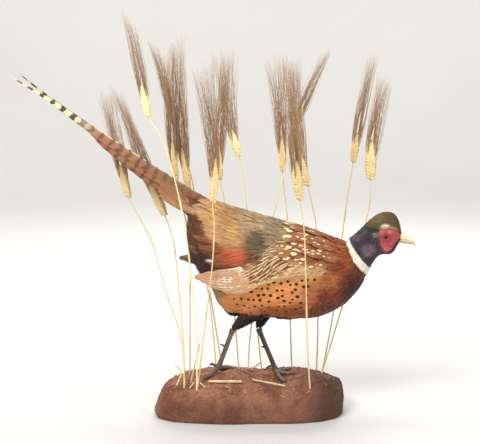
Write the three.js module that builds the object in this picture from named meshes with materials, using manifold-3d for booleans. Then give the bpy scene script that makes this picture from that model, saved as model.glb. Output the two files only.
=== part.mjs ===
// A taxidermy ring-necked pheasant on its earth-like base, among stalks of bearded wheat.
//
// Millimetres. The bird faces +X, its right side is towards -Y, and +Z is up. The origin is the
// middle of the base's underside. Every node is a closed faceted solid, and touching nodes keep GAP.

import * as THREE from "three";
import { mergeVertices } from "three/addons/utils/BufferGeometryUtils.js";
import Module from "manifold-3d";

const wasm = await Module();
wasm.setup();

// ---------------------------------------------------------------------------------------------
// Driving sizes
// ---------------------------------------------------------------------------------------------

const GAP = 0.3;

// How far a facet may move when needless triangles are merged.
const SLACK = 0.16;

// How many facets the shapes have: lengthwise and around, and the spokes and rings of the rest.
const FACETS = {
  body: [32, 17],
  thigh: [8, 12],
  wing: [12, 8],
  tail: [8, 10],
  longFeather: [4, 6],
  billUpper: [7, 9],
  billLower: [5, 9],
  eye: [9, 6],
  shank: [4, 6],
  toe: [3, 5],
  claw: [2, 5],
  ear: [6, 4],
  stemSides: 4,
  awnSides: 3,
  strawSides: 6,
  baseSpokes: 32,
};

// The base: half length, half width and the level of its flat ground.
const BASE = { halfLength: 181, halfWidth: 108, ground: 62, squareness: 3.9, topShift: 12 };

// The base's profile, as shares of its half width and of its height: rings on top, then the side.
const BASE_TOP_RINGS = [0.13, 0.27, 0.41, 0.55, 0.68, 0.8];
const BASE_SIDE = [[0.885, 0.97], [0.945, 0.82], [0.98, 0.5], [1, 0.14], [0.985, 0]];

// Rises and hollows of the ground: middle, height and reach.
const MOUNDS = [
  { x: -50, y: -40, rise: 20, reach: 36 },
  { x: -12, y: -50, rise: 19, reach: 28 },
  { x: 128, y: -50, rise: 16, reach: 38 },
  { x: 52, y: -12, rise: -11, reach: 32 },
  { x: -150, y: 62, rise: -15, reach: 46 },
  { x: 172, y: 70, rise: -9, reach: 42 },
  { x: 30, y: 70, rise: -5, reach: 50 },
];

// The body's outline seen from its side, from the tail root to the face. Each row is a rib: the
// x and z of its top, the x and z of its bottom, and its half width.
const BODY_RIBS = [
  [-103, 415, -111, 372, 17],
  [-96, 413, -113, 330, 33],
  [-78, 409, -103, 286, 47],
  [-46, 400, -70, 239, 60],
  [-6, 388, -42, 186, 70],
  [40, 375, 6, 183, 74],
  [86, 362, 60, 179, 74],
  [128, 350, 114, 177, 68],
  [160, 338, 152, 186, 58],
  [178, 332, 191, 209, 46],
  [187, 331, 222, 248, 36],
  [194, 334, 234, 276, 29],
  [203, 342, 244, 293, 25],
  [214, 352, 253, 301, 22],
  [229, 367, 263, 301, 20.5],
  [247, 381, 271, 301, 20.5],
  [266, 385, 279, 307, 19],
  [281, 379, 285, 319, 15],
  [290, 360, 290, 326, 9],
  [293, 344, 292, 333, 4],
];

// Where the body is parted: the white collar's lower edge, and behind the ear.
const NECK_CUTS = {
  collar: { top: [184, 331], bottom: [226, 262] },
  nape: { top: [221, 362], bottom: [258, 299] },
};

// A folded wing's ribs from shoulder to tip: top x, z, y, bottom x, z, y and half thickness, with y
// counted outwards from the bird's middle.
const SHOULDER_RIBS = [
  [150, 303, 50, 149, 283, 53, 2.5],
  [134, 311, 58, 130, 275, 63, 6.5],
  [95, 318, 65, 90, 270, 75, 8],
  [52, 316, 69, 46, 262, 79, 8],
  [6, 296, 72, 0, 243, 77, 7],
];
const RIGHT_TIP_RIBS = [
  [-40, 290, 66, -36, 240, 70, 5],
  [-76, 288, 57, -70, 248, 61, 3],
  [-100, 274, 50, -98, 262, 51, 1],
];
const LEFT_TIP_RIBS = [
  [-40, 300, 66, -38, 250, 69, 5],
  [-86, 308, 57, -80, 264, 60, 3.5],
  [-114, 302, 53, -106, 272, 54, 2],
  [-134, 293, 50, -131, 284, 51, 1],
];

// The tail's ribs from root to tip: x and z of the ridge, how far the edges hang below it, half
// width and thickness. The edges hang square to the tail, so its section is a low roof.
const TAIL_RIBS = [
  [-80, 408, 30, 26, 16],
  [-112, 423, 38, 34, 15],
  [-164, 454, 27, 31, 11],
  [-207, 483, 24, 26, 8],
  [-248, 511, 21, 22, 6],
  [-292, 541, 17, 17, 4.5],
  [-340, 573, 11, 11, 3],
  [-371, 593, 7, 7, 2],
];
const TAIL_LEAN = { x: -0.57, z: -0.82 };

// The two longest tail feathers, past the others: the route of each, its half width, and its roll
// about its shaft in radians. Each narrows by this share of its width from root to tip.
const LONG_FEATHERS = [
  { route: [[-300, -4, 541], [-371, -5, 590], [-444, -7, 637]], halfWidth: 7, roll: 0.8 },
  { route: [[-300, 4, 543], [-371, 5, 594], [-436, 7, 646]], halfWidth: 6.5, roll: -0.8 },
];
const FEATHER_NARROWING = 0.8;
const FEATHER_THICKNESS = 1.6;

const EYE = { x: 260, y: 15.6, z: 337, radius: 5 };

// The bill's ribs from its root to its tip: top x, z, bottom x, z and half width.
const BILL_UPPER_RIBS = [
  [284, 345, 284, 331.5, 8.5],
  [294, 343.5, 294, 330.5, 7.8],
  [302, 339.5, 302, 328.8, 6.2],
  [311, 333, 309, 326, 4.4],
  [317, 325.5, 315, 321.5, 2.4],
  [319.8, 318, 318.4, 317, 0.7],
];
const BILL_LOWER_RIBS = [
  [282, 330.8, 282, 323, 7.8],
  [294, 329.8, 294, 323.6, 6.6],
  [302, 328.1, 303, 321.8, 5],
  [308, 325.5, 308.5, 321, 3.2],
  [313, 322, 312.8, 320.8, 1],
];

// Feathered lower thighs: knee, hock and radii.
const THIGHS = {
  right: { knee: [32, -30, 222], middle: [2, -31, 190], hock: [-29, -32, 163] },
  left: { knee: [38, 30, 218], middle: [31, 31, 182], hock: [21, 32, 150] },
  kneeRadius: 24,
  middleRadius: 17,
  hockRadius: 6.2,
};

// Shank, toes, claws, hind toe and spur. Toe routes are given in plan, and lie on the ground.
const SHANK = { hockRadius: 5.8, middleRadius: 4.7, ballRadius: 5.8 };
const TOE = { rootRadius: 3.9, tipRadius: 2.6 };
const CLAW = { length: 12, rootRadius: 2, middleRadius: 1.6, tipRadius: 0.5, arch: 1, tipLift: 1.2 };
const HIND_TOE_RADII = [3, 2.6, 2, 0.6];
const SPUR_RADII = [3, 2.2, 0.7];
const FEET = {
  right: {
    hock: [-29, -32, 163],
    ball: [-57, -33],
    lift: 6.5,
    toes: [
      [[-57, -33], [-36, -27], [-10, -24]],
      [[-57, -33], [-46, -17], [-30, -4]],
      [[-57, -33], [-66, -46], [-78, -56]],
    ],
    hallux: [[-60, -32, 91], [-68, -32, 96], [-73, -33, 93]],
    spur: [[-42, -30, 130], [-48, -27, 131], [-54, -25, 134]],
  },
  left: {
    hock: [21, 32, 150],
    ball: [55, 32],
    lift: 6.5,
    toes: [
      [[55, 32], [72, 27], [90, 21]],
      [[55, 32], [64, 4], [72, -22]],
      [[55, 32], [66, 44], [80, 54]],
    ],
    hallux: [[51, 32, 74], [43, 34, 75], [37, 35, 70]],
    spur: [[36, 31, 116], [31, 28, 115], [25, 26, 117]],
  },
};

// Wheat. foot is in plan; bends lead the stem up to the ear; fan holds the outermost awn tips.
const STEM_RADIUS = 1.5;
const EAR_FLATNESS = 0.7;
const AWN = { rootRadius: 1.1, sway: 5 };
const STALKS = [
  { name: "wheat_a", foot: [-118, -64], bends: [[-126, -40, 146], [-156, -10, 230], [-186, 22, 326]],
    ear: [[-229, 40, 404], [-246, 50, 468]], width: 16, fan: [[-292, 58, 609], [-260, 54, 624]], awns: 6 },
  { name: "wheat_b", foot: [-119, -75], bends: [[-122, -50, 149], [-132, -16, 242], [-142, 16, 320]],
    ear: [[-159, 34, 370], [-194, 43, 450]], width: 19, fan: [[-269, 48, 628], [-237, 44, 601]], awns: 7 },
  { name: "wheat_c", foot: [-95, -87], bends: [[-96, -85, 168], [-112, -80, 333], [-132, -68, 440],
    [-158, -60, 524]],
    ear: [[-182, -56, 563], [-194, -52, 621]], width: 15,
    fan: [[-234, -60, 770], [-202, -44, 722]], awns: 6 },
  { name: "wheat_d", foot: [-114, 48], bends: [[-113, 42, 204], [-113, 41, 300], [-122, 48, 370]],
    ear: [[-139, 54, 433], [-146, 56, 515]], width: 13, fan: [[-168, 54, 685], [-138, 58, 708]], awns: 6 },
  { name: "wheat_e", foot: [-62, 66], bends: [[-71, 74, 163], [-80, 77, 225], [-107, 74, 369]],
    ear: [[-115, 71, 418], [-128, 70, 498]], width: 14, fan: [[-154, 70, 705], [-122, 68, 721]], awns: 6 },
  { name: "wheat_f", foot: [-94, -76], bends: [[-78, -82, 196], [-66, -84, 293], [-62, -82, 368]],
    ear: [[-65, -78, 406], [-59, -74, 492]], width: 15, fan: [[-106, -70, 657], [-58, -78, 675]], awns: 7 },
  { name: "wheat_g", foot: [-17, 66], bends: [[-23, 82, 131], [-33, 94, 256], [-45, 96, 388]],
    ear: [[-54, 96, 434], [-58, 96, 503]], width: 13, fan: [[-52, 98, 686], [-30, 94, 670]], awns: 5 },
  { name: "wheat_h", foot: [29, 88], bends: [[21, 99, 125], [9, 102, 276], [-1, 98, 377], [-9, 90, 446]],
    ear: [[-16, 86, 480], [-33, 84, 535]], width: 15, fan: [[-77, 84, 694], [-19, 80, 697]], awns: 7 },
  { name: "wheat_i", foot: [1, 80], bends: [[7, 89, 139], [29, 92, 266], [50, 92, 360], [70, 89, 445],
    [89, 89, 517]],
    ear: [[95, 90, 538], [106, 90, 578]], width: 12, fan: [[146, 92, 690], [167, 88, 695]], awns: 5 },
  { name: "wheat_j", foot: [89, 84], bends: [[86, 97, 148], [79, 102, 356], [72, 102, 416]],
    ear: [[70, 101, 448], [67, 100, 521]], width: 13, fan: [[30, 102, 674], [78, 98, 688]], awns: 6 },
  { name: "wheat_k", foot: [115, -88], bends: [[109, -96, 150], [105, -98, 285], [101, -96, 369]],
    ear: [[94, -92, 412], [85, -86, 488]], width: 18, fan: [[53, -88, 682], [86, -78, 668]], awns: 7 },
  { name: "wheat_l", foot: [138, 76], bends: [[141, 92, 161], [136, 90, 337], [128, 85, 383]],
    ear: [[119, 80, 423], [98, 77, 494]], width: 17, fan: [[74, 78, 674], [103, 74, 682]], awns: 7 },
  { name: "wheat_m", foot: [148, 68], bends: [[171, 86, 172], [187, 86, 324], [201, 83, 433]],
    ear: [[206, 81, 469], [213, 80, 529]], width: 14, fan: [[233, 82, 682], [255, 78, 684]], awns: 6 },
  { name: "wheat_n", foot: [146, 52], bends: [[188, 76, 186], [232, 70, 355], [240, 66, 409]],
    ear: [[239, 64, 437], [239, 62, 516]], width: 22, fan: [[249, 64, 646], [281, 58, 634]], awns: 7 },
  { name: "wheat_o", foot: [-50, 78], bends: [[-63, 88, 137], [-82, 90, 258], [-105, 88, 412],
    [-117, 86, 467]],
    ear: [[-136, 84, 525], [-151, 83, 580]], width: 10, fan: [[-197, 84, 712], [-173, 82, 700]], awns: 5 },
];

// Loose straw fixed on the ground: its route in plan, how far each point stands up, and its radius.
const STRAWS = [
  { name: "straw_1", route: [[-74, -75], [-11, -81]], lifts: [0, 0], radius: 2.6 },
  { name: "straw_2", route: [[8, -68], [70, -80]], lifts: [0, 0], radius: 1.8 },
  { name: "straw_3", route: [[6, 56], [25, 52]], lifts: [0, 18], radius: 1.3 },
  { name: "straw_4", route: [[-134, -72], [-125, -60], [-139, -54]], lifts: [0, 24, 36], radius: 1.5 },
  { name: "straw_5", route: [[-108, -60], [-90, -62]], lifts: [0, 74], radius: 1.4 },
  { name: "straw_6", route: [[-89, -80], [-79, -89]], lifts: [6, 0], radius: 1.2 },
  { name: "straw_7", route: [[-100, -81], [-109, -87]], lifts: [8, 0], radius: 1.2 },
];

// ---------------------------------------------------------------------------------------------
// Materials
// ---------------------------------------------------------------------------------------------

const COLOURS = {
  earth: 0x8a6450,
  trunk: 0xb47846,
  neck: 0x433c52,
  head: 0x6a6440,
  wing: 0xb79c7c,
  tail: 0xa67a58,
  thigh: 0x2c2622,
  foot: 0x5e564c,
  bill: 0xe6dcb8,
  eye: 0x33200f,
  straw: 0xdcc886,
};

/** A material of one plain colour. */
function finish(colour, roughness = 0.8) {
  return new THREE.MeshStandardMaterial({ color: colour, roughness, metalness: 0 });
}

const FINISHES = {};
Object.entries(COLOURS).forEach(([name, colour]) => {
  FINISHES[name] = finish(colour);
});
FINISHES.bill.roughness = 0.45;
FINISHES.eye.roughness = 0.1;

// ---------------------------------------------------------------------------------------------
// Solids: between three.js geometries and the boolean library
// ---------------------------------------------------------------------------------------------

/** The geometry with its corners welded and without triangles that this leaves flat. */
function welded(geometry) {
  const bare = geometry.clone();
  bare.deleteAttribute("normal");
  bare.deleteAttribute("uv");
  const whole = mergeVertices(bare, 1e-3);
  const corners = whole.index.array;
  const kept = [];
  for (let i = 0; i < corners.length; i += 3) {
    const [a, b, c] = corners.subarray(i, i + 3);
    if (a !== b && b !== c && c !== a) {
      kept.push(a, b, c);
    }
  }
  whole.setIndex(kept);
  return whole;
}

/** A three.js geometry as a closed solid. */
function solid(geometry) {
  const whole = welded(geometry);
  const mesh = new wasm.Mesh({
    numProp: 3,
    vertProperties: new Float32Array(whole.attributes.position.array),
    triVerts: new Uint32Array(whole.index.array),
  });
  return new wasm.Manifold(mesh);
}

/** A closed solid as a three.js geometry. */
function geometryOf(body) {
  const mesh = body.getMesh();
  const geometry = new THREE.BufferGeometry();
  const places = new Float32Array(mesh.numVert * 3);
  for (let i = 0; i < mesh.numVert; i += 1) {
    places.set(mesh.vertProperties.subarray(i * mesh.numProp, i * mesh.numProp + 3), i * 3);
  }
  geometry.setAttribute("position", new THREE.BufferAttribute(places, 3));
  geometry.setIndex(new THREE.BufferAttribute(new Uint32Array(mesh.triVerts), 1));
  geometry.computeVertexNormals();
  return geometry;
}

/** Several solids as one. */
function joined(bodies) {
  return bodies.reduce((whole, body) => whole.add(body));
}

/** The same geometry with its skin moved outwards by amount. */
function swollen(geometry, amount) {
  const grown = welded(geometry);
  grown.computeVertexNormals();
  const { position, normal } = grown.attributes;
  for (let i = 0; i < position.count; i += 1) {
    position.setXYZ(
      i,
      position.getX(i) + normal.getX(i) * amount,
      position.getY(i) + normal.getY(i) * amount,
      position.getZ(i) + normal.getZ(i) * amount,
    );
  }
  return grown;
}

/** The biggest single piece of a solid, without crumbs that a cut has left. */
function mainPiece(body) {
  const pieces = body.decompose();
  return pieces.sort((a, b) => b.volume() - a.volume())[0];
}

// ---------------------------------------------------------------------------------------------
// Shapes
// ---------------------------------------------------------------------------------------------

/**
 * A closed body drawn through ribs. ribAt(t) gives the middle of the rib at t from 0 to 1, its up and
 * side vectors, and how far its sides sag along -up.
 */
function ribbed(ribAt, [lengthwise, around]) {
  const geometry = new THREE.CylinderGeometry(1, 1, 1, around, lengthwise);
  const place = geometry.attributes.position;
  const up = new THREE.Vector3();
  for (let i = 0; i < place.count; i += 1) {
    const rib = ribAt(place.getY(i) + 0.5);
    const across = place.getX(i);
    const along = place.getZ(i);
    const point = rib.middle.clone().addScaledVector(rib.side, across).addScaledVector(rib.up, along);
    if (rib.sag) {
      up.copy(rib.up).normalize();
      point.addScaledVector(up, -rib.sag * across * across);
    }
    place.setXYZ(i, point.x, point.y, point.z);
  }
  return geometry;
}

/** A smooth reading of rows of numbers: at(t) gives the row at t from 0 to 1. */
function rowReader(rows) {
  const columns = rows[0].map((_, column) => {
    const knots = rows.map((row, i) => new THREE.Vector3(i, row[column], 0));
    return new THREE.CatmullRomCurve3(knots, false, "catmullrom", 0.5);
  });
  return (t) => columns.map((column) => column.getPoint(THREE.MathUtils.clamp(t, 0, 1)).y);
}

/** A body on the bird's middle plane, from ribs of top x, z, bottom x, z and half width. */
function middleBody(ribs, facets) {
  const read = rowReader(ribs);
  return ribbed((t) => {
    const [topX, topZ, bottomX, bottomZ, halfWidth] = read(t);
    const top = new THREE.Vector3(topX, 0, topZ);
    const bottom = new THREE.Vector3(bottomX, 0, bottomZ);
    return {
      middle: top.clone().add(bottom).multiplyScalar(0.5),
      up: top.sub(bottom).multiplyScalar(0.5),
      side: new THREE.Vector3(0, -halfWidth, 0),
    };
  }, facets);
}

/** A round, tapering limb along points, with radii read evenly along it. */
function limb(points, radii, facets) {
  const path = new THREE.CatmullRomCurve3(points.map((point) => new THREE.Vector3(...point)));
  const readRadius = rowReader(radii.map((radius) => [radius]));
  return ribbed((t) => {
    const tangent = path.getTangentAt(THREE.MathUtils.clamp(t, 0, 1));
    const side = Math.abs(tangent.z) > 0.6 ? new THREE.Vector3(0, -1, 0) : new THREE.Vector3(0, 0, 1);
    const up = new THREE.Vector3().crossVectors(side, tangent).normalize();
    side.crossVectors(tangent, up).normalize();
    const [radius] = readRadius(t);
    return {
      middle: path.getPointAt(THREE.MathUtils.clamp(t, 0, 1)),
      up: up.multiplyScalar(radius),
      side: side.multiplyScalar(radius),
    };
  }, facets);
}

// ---------------------------------------------------------------------------------------------
// The base
// ---------------------------------------------------------------------------------------------

/** Height of the ground at a place in plan. */
function groundHeight(x, y) {
  const lumps = 1.4 * Math.sin(x * 0.071 + 1) * Math.cos(y * 0.093) + 0.9 * Math.sin(x * 0.19 + y * 0.14);
  return MOUNDS.reduce((height, mound) => {
    const distance = Math.hypot(x - mound.x, y - mound.y) / mound.reach;
    return height + mound.rise * Math.exp(-distance * distance);
  }, BASE.ground + lumps);
}

/** The base: a lump of ground with a rounded plan, turned on a lathe and then drawn out of round. */
function baseGeometry() {
  const rows = [[0, 1], ...BASE_TOP_RINGS.map((radius) => [radius, 1]), ...BASE_SIDE, [0, 0]];
  const profile = rows.map(([radius, height]) => new THREE.Vector2(radius, height));
  const geometry = new THREE.LatheGeometry(profile.reverse(), FACETS.baseSpokes);
  const place = geometry.attributes.position;
  for (let i = 0; i < place.count; i += 1) {
    const radius = Math.hypot(place.getX(i), place.getZ(i));
    const angle = Math.atan2(-place.getZ(i), place.getX(i));
    const level = place.getY(i);
    const across = Math.abs(Math.cos(angle)) ** BASE.squareness / BASE.halfLength ** BASE.squareness
      + Math.abs(Math.sin(angle)) ** BASE.squareness / BASE.halfWidth ** BASE.squareness;
    const wobble = 1 + 0.018 * Math.sin(3 * angle + 1) + 0.014 * Math.sin(7 * angle + 2);
    const reach = radius * across ** (-1 / BASE.squareness) * wobble;
    const x = reach * Math.cos(angle) + BASE.topShift * (level - 0.25) * (level > 0 ? 1 : 0);
    const y = reach * Math.sin(angle);
    place.setXYZ(i, x, y, level * groundHeight(x, y));
  }
  return geometry;
}

// ---------------------------------------------------------------------------------------------
// The bird
// ---------------------------------------------------------------------------------------------

/** A folded wing on the given side: -1 for the right one, 1 for the left one. */
function wingGeometry(tipRibs, side) {
  const read = rowReader([...SHOULDER_RIBS, ...tipRibs]);
  return ribbed((t) => {
    const [topX, topZ, topY, bottomX, bottomZ, bottomY, halfThickness] = read(t);
    const top = new THREE.Vector3(topX, topY * side, topZ);
    const bottom = new THREE.Vector3(bottomX, bottomY * side, bottomZ);
    return {
      middle: top.clone().add(bottom).multiplyScalar(0.5),
      up: top.sub(bottom).multiplyScalar(0.5),
      side: new THREE.Vector3(0, halfThickness, 0),
    };
  }, FACETS.wing);
}

/** The spread of graded tail feathers, without the two longest. */
function tailFan() {
  const read = rowReader(TAIL_RIBS);
  return ribbed((t) => {
    const [x, z, drop, halfWidth, thickness] = read(t);
    const up = new THREE.Vector3(-TAIL_LEAN.x, 0, -TAIL_LEAN.z);
    return {
      middle: new THREE.Vector3(x, 0, z).addScaledVector(up, -thickness / 2),
      up: up.multiplyScalar(thickness / 2),
      side: new THREE.Vector3(0, halfWidth, 0),
      sag: Math.max(drop - thickness / 2, 0),
    };
  }, FACETS.tail);
}

/** One long tail feather: a thin blade rolled about its shaft. */
function longFeather({ route, halfWidth, roll }) {
  const path = new THREE.CatmullRomCurve3(route.map((point) => new THREE.Vector3(...point)));
  const flat = new THREE.Vector3(0, Math.cos(roll), 0);
  return ribbed((t) => {
    const along = THREE.MathUtils.clamp(t, 0, 1);
    const tangent = path.getTangentAt(along);
    const lean = new THREE.Vector3(-TAIL_LEAN.x, 0, -TAIL_LEAN.z);
    const across = flat.clone().addScaledVector(lean, Math.sin(roll)).normalize();
    const width = halfWidth * (1 - FEATHER_NARROWING * along * along);
    return {
      middle: path.getPointAt(along),
      up: new THREE.Vector3().crossVectors(across, tangent).setLength(FEATHER_THICKNESS / 2),
      side: across.multiplyScalar(width),
    };
  }, FACETS.longFeather);
}

/** A foot: shank, three toes with claws, hind toe and spur, on the ground under it. */
function footBody(foot) {
  const onGround = ([x, y], lift) => [x, y, groundHeight(x, y) + lift];
  const ball = onGround(foot.ball, foot.lift);
  const shankRadii = [SHANK.hockRadius, SHANK.middleRadius, SHANK.middleRadius, SHANK.ballRadius];
  const shank = limb([foot.hock, ball], shankRadii, FACETS.shank);
  const toes = foot.toes.map((route) => {
    const [, bend, end] = route;
    const joints = [ball, onGround(bend, TOE.rootRadius), onGround(end, TOE.tipRadius + GAP)];
    const ahead = new THREE.Vector2(end[0] - bend[0], end[1] - bend[1]).normalize();
    const clawEnd = [end[0] + ahead.x * CLAW.length, end[1] + ahead.y * CLAW.length];
    const clawMiddle = [(end[0] + clawEnd[0]) / 2, (end[1] + clawEnd[1]) / 2];
    const clawCrest = onGround(clawMiddle, CLAW.rootRadius + CLAW.arch);
    const clawRoute = [joints[2], clawCrest, onGround(clawEnd, CLAW.tipLift)];
    return joined([
      solid(limb(joints, [TOE.rootRadius, TOE.rootRadius, TOE.tipRadius], FACETS.toe)),
      solid(limb(clawRoute, [CLAW.rootRadius, CLAW.middleRadius, CLAW.tipRadius], FACETS.claw)),
    ]);
  });
  const hallux = limb([ball, ...foot.hallux], HIND_TOE_RADII, FACETS.toe);
  const spur = limb(foot.spur, SPUR_RADII, FACETS.claw);
  return joined([solid(shank), ...toes, solid(hallux), solid(spur)]);
}

// ---------------------------------------------------------------------------------------------
// The plants
// ---------------------------------------------------------------------------------------------

/** A tube of one thickness along points. */
function tube(points, radius, sides, steps) {
  const section = new THREE.Shape();
  for (let i = 0; i < sides; i += 1) {
    const angle = (2 * Math.PI * i) / sides;
    const draw = i === 0 ? section.moveTo : section.lineTo;
    draw.call(section, radius * Math.cos(angle), radius * Math.sin(angle));
  }
  const path = new THREE.CatmullRomCurve3(points.map((point) => new THREE.Vector3(...point)));
  return new THREE.ExtrudeGeometry(section, { steps, extrudePath: path, bevelEnabled: false });
}

/** Turns a geometry that stands along +Y so that it runs from one point to another. */
function laidAlong(geometry, from, to) {
  const turn = new THREE.Quaternion();
  turn.setFromUnitVectors(new THREE.Vector3(0, 1, 0), to.clone().sub(from).normalize());
  geometry.applyQuaternion(turn);
  const middle = from.clone().add(to).multiplyScalar(0.5);
  return geometry.translate(middle.x, middle.y, middle.z);
}

/** One stalk of wheat: stem, ear and a fan of awns, from the ground to the awns' tips. */
function wheatBody(stalk, floorAt) {
  const [earBase, earTip] = stalk.ear.map((point) => new THREE.Vector3(...point));
  const foot = [...stalk.foot, floorAt(stalk.foot, STEM_RADIUS) + GAP * 2];
  const into = earBase.clone().lerp(earTip, 0.15);
  const stemPoints = [foot, ...stalk.bends, earBase.toArray(), into.toArray()];
  const stem = tube(stemPoints, STEM_RADIUS, FACETS.stemSides, stalk.bends.length + 5);
  const length = earBase.distanceTo(earTip);
  const ear = new THREE.SphereGeometry(0.5, ...FACETS.ear);
  ear.scale(stalk.width, length, stalk.width * EAR_FLATNESS);
  const pieces = [solid(stem), solid(laidAlong(ear, earBase, earTip))];
  const [fanStart, fanEnd] = stalk.fan.map((point) => new THREE.Vector3(...point));
  for (let i = 0; i < stalk.awns; i += 1) {
    const share = i / (stalk.awns - 1);
    const root = earBase.clone().lerp(earTip, 0.45 + 0.4 * Math.abs(2 * share - 1));
    const tip = fanStart.clone().lerp(fanEnd, share);
    tip.z += AWN.sway * Math.sin(5 * share);
    const awn = new THREE.ConeGeometry(AWN.rootRadius, root.distanceTo(tip), FACETS.awnSides);
    pieces.push(solid(laidAlong(awn, root, tip)));
  }
  return joined(pieces);
}

/** A length of loose straw, straight or bent, on the ground. */
function strawBody(straw, floorAt) {
  const points = straw.route.map((place, i) => {
    return [...place, floorAt(place, straw.radius * 2) + straw.radius + GAP * 2 + straw.lifts[i]];
  });
  return solid(tube(points, straw.radius, FACETS.strawSides, 4 * (points.length - 1)));
}

// ---------------------------------------------------------------------------------------------
// Putting it together
// ---------------------------------------------------------------------------------------------

/** The side of a slanting cut that faces the tail, or the head: a plane's normal and offset. */
function cutPlane({ top, bottom }) {
  const normal = new THREE.Vector3(top[1] - bottom[1], 0, bottom[0] - top[0]).normalize();
  return { normal, offset: normal.x * top[0] + normal.z * top[1] };
}

/** The part of a solid on one side of a cut: sign 1 keeps what is ahead, -1 what is behind. */
function sideOfCut(body, cut, sign) {
  const { normal, offset } = cutPlane(cut);
  const direction = normal.clone().multiplyScalar(sign);
  return body.trimByPlane(direction.toArray(), sign * offset + GAP / 2);
}

const group = new THREE.Group();

/** Adds a node to the group. */
function addNode(name, body, material) {
  const mesh = new THREE.Mesh(geometryOf(mainPiece(body).simplify(SLACK)), material);
  mesh.name = name;
  group.add(mesh);
}

const base = solid(baseGeometry());
const baseMesh = new THREE.Mesh(geometryOf(base));
const probe = new THREE.Raycaster();

/** The highest point of the base's facets within reach of a place in plan. */
function floorAt([x, y], reach) {
  const offsets = [[0, 0], [reach, 0], [-reach, 0], [0, reach], [0, -reach]];
  const heights = offsets.map(([dx, dy]) => {
    probe.set(new THREE.Vector3(x + dx, y + dy, BASE.ground * 4), new THREE.Vector3(0, 0, -1));
    return probe.intersectObject(baseMesh)[0].point.z;
  });
  return Math.max(...heights);
}

const wholeBody = solid(middleBody(BODY_RIBS, FACETS.body));
const rightWing = wingGeometry(RIGHT_TIP_RIBS, -1);
const leftWing = wingGeometry(LEFT_TIP_RIBS, 1);
const wings = joined([rightWing, leftWing].map((wing) => solid(swollen(wing, 3 * GAP))));

const trunk = mainPiece(sideOfCut(wholeBody, NECK_CUTS.collar, -1).subtract(wings));
const neck = sideOfCut(sideOfCut(wholeBody, NECK_CUTS.collar, 1), NECK_CUTS.nape, -1);
const eyeBall = (side, radius) => {
  return new THREE.SphereGeometry(radius, ...FACETS.eye).translate(EYE.x, EYE.y * side, EYE.z);
};
const sockets = joined([-1, 1].map((side) => solid(eyeBall(side, EYE.radius + GAP))));
const head = mainPiece(sideOfCut(wholeBody, NECK_CUTS.nape, 1).subtract(sockets));

const grownTrunk = solid(swollen(geometryOf(trunk), GAP));
const grownHead = solid(swollen(geometryOf(head), GAP));
const grownBase = solid(swollen(geometryOf(base), GAP));

addNode("base", base, FINISHES.earth);
addNode("trunk", trunk, FINISHES.trunk);
addNode("neck", neck, FINISHES.neck);
addNode("head", head, FINISHES.head);
addNode("eye_right", solid(eyeBall(-1, EYE.radius)), FINISHES.eye);
addNode("eye_left", solid(eyeBall(1, EYE.radius)), FINISHES.eye);
const billUpper = solid(middleBody(BILL_UPPER_RIBS, FACETS.billUpper));
const billLower = solid(middleBody(BILL_LOWER_RIBS, FACETS.billLower));
addNode("bill_upper", billUpper.subtract(grownHead), FINISHES.bill);
addNode("bill_lower", billLower.subtract(grownHead), FINISHES.bill);
addNode("wing_right", solid(rightWing), FINISHES.wing);
addNode("wing_left", solid(leftWing), FINISHES.wing);

const tail = joined([tailFan(), ...LONG_FEATHERS.map(longFeather)].map(solid));
addNode("tail", tail.subtract(grownTrunk), FINISHES.tail);

const thighRadii = [THIGHS.kneeRadius, THIGHS.middleRadius, THIGHS.hockRadius];
["right", "left"].forEach((side) => {
  const { knee, middle, hock } = THIGHS[side];
  const limbBody = solid(limb([knee, middle, hock], thighRadii, FACETS.thigh));
  const thigh = mainPiece(limbBody.subtract(grownTrunk));
  const foot = footBody(FEET[side]).subtract(solid(swollen(geometryOf(thigh), GAP))).subtract(grownBase);
  addNode(`thigh_${side}`, thigh, FINISHES.thigh);
  addNode(`foot_${side}`, foot, FINISHES.foot);
});

STALKS.forEach((stalk) => addNode(stalk.name, wheatBody(stalk, floorAt), FINISHES.straw));
STRAWS.forEach((straw) => addNode(straw.name, strawBody(straw, floorAt), FINISHES.straw));

export default group;
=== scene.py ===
"""Looks of a taxidermy ring-necked pheasant on its earth base, among stalks of bearded wheat.

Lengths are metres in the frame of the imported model: the bird faces +X, its right side is towards
-Y and +Z is up. Tables of sizes are in millimetres and are turned into metres where they are used.
"""

from __future__ import annotations

import logging
import math
import sys
from dataclasses import dataclass, field
from enum import Enum, IntEnum
from typing import Callable, Iterable, Sequence

import bmesh
import bpy
import numpy as np
from mathutils import Matrix, Vector, noise
from mathutils.bvhtree import BVHTree
from mathutils.kdtree import KDTree


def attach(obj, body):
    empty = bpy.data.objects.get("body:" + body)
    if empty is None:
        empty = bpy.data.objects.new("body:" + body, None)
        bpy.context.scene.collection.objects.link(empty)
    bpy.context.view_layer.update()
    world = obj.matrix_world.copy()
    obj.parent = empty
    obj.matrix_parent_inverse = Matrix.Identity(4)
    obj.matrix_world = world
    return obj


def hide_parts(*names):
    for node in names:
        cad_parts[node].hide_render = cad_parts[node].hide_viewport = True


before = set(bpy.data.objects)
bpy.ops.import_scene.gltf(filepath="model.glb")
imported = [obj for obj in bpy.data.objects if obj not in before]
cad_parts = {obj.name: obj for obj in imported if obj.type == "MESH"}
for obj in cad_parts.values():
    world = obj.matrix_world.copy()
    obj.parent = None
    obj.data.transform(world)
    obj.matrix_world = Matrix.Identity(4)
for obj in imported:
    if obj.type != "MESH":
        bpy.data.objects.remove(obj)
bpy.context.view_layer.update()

LOG = logging.getLogger("pheasant")
MM = 0.001
SEED = 20
ROOT = "root"
Array = np.ndarray
Paint = tuple[float, ...]
BMesh = bmesh.types.BMesh


# ---- Numbers and curves ----


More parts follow.
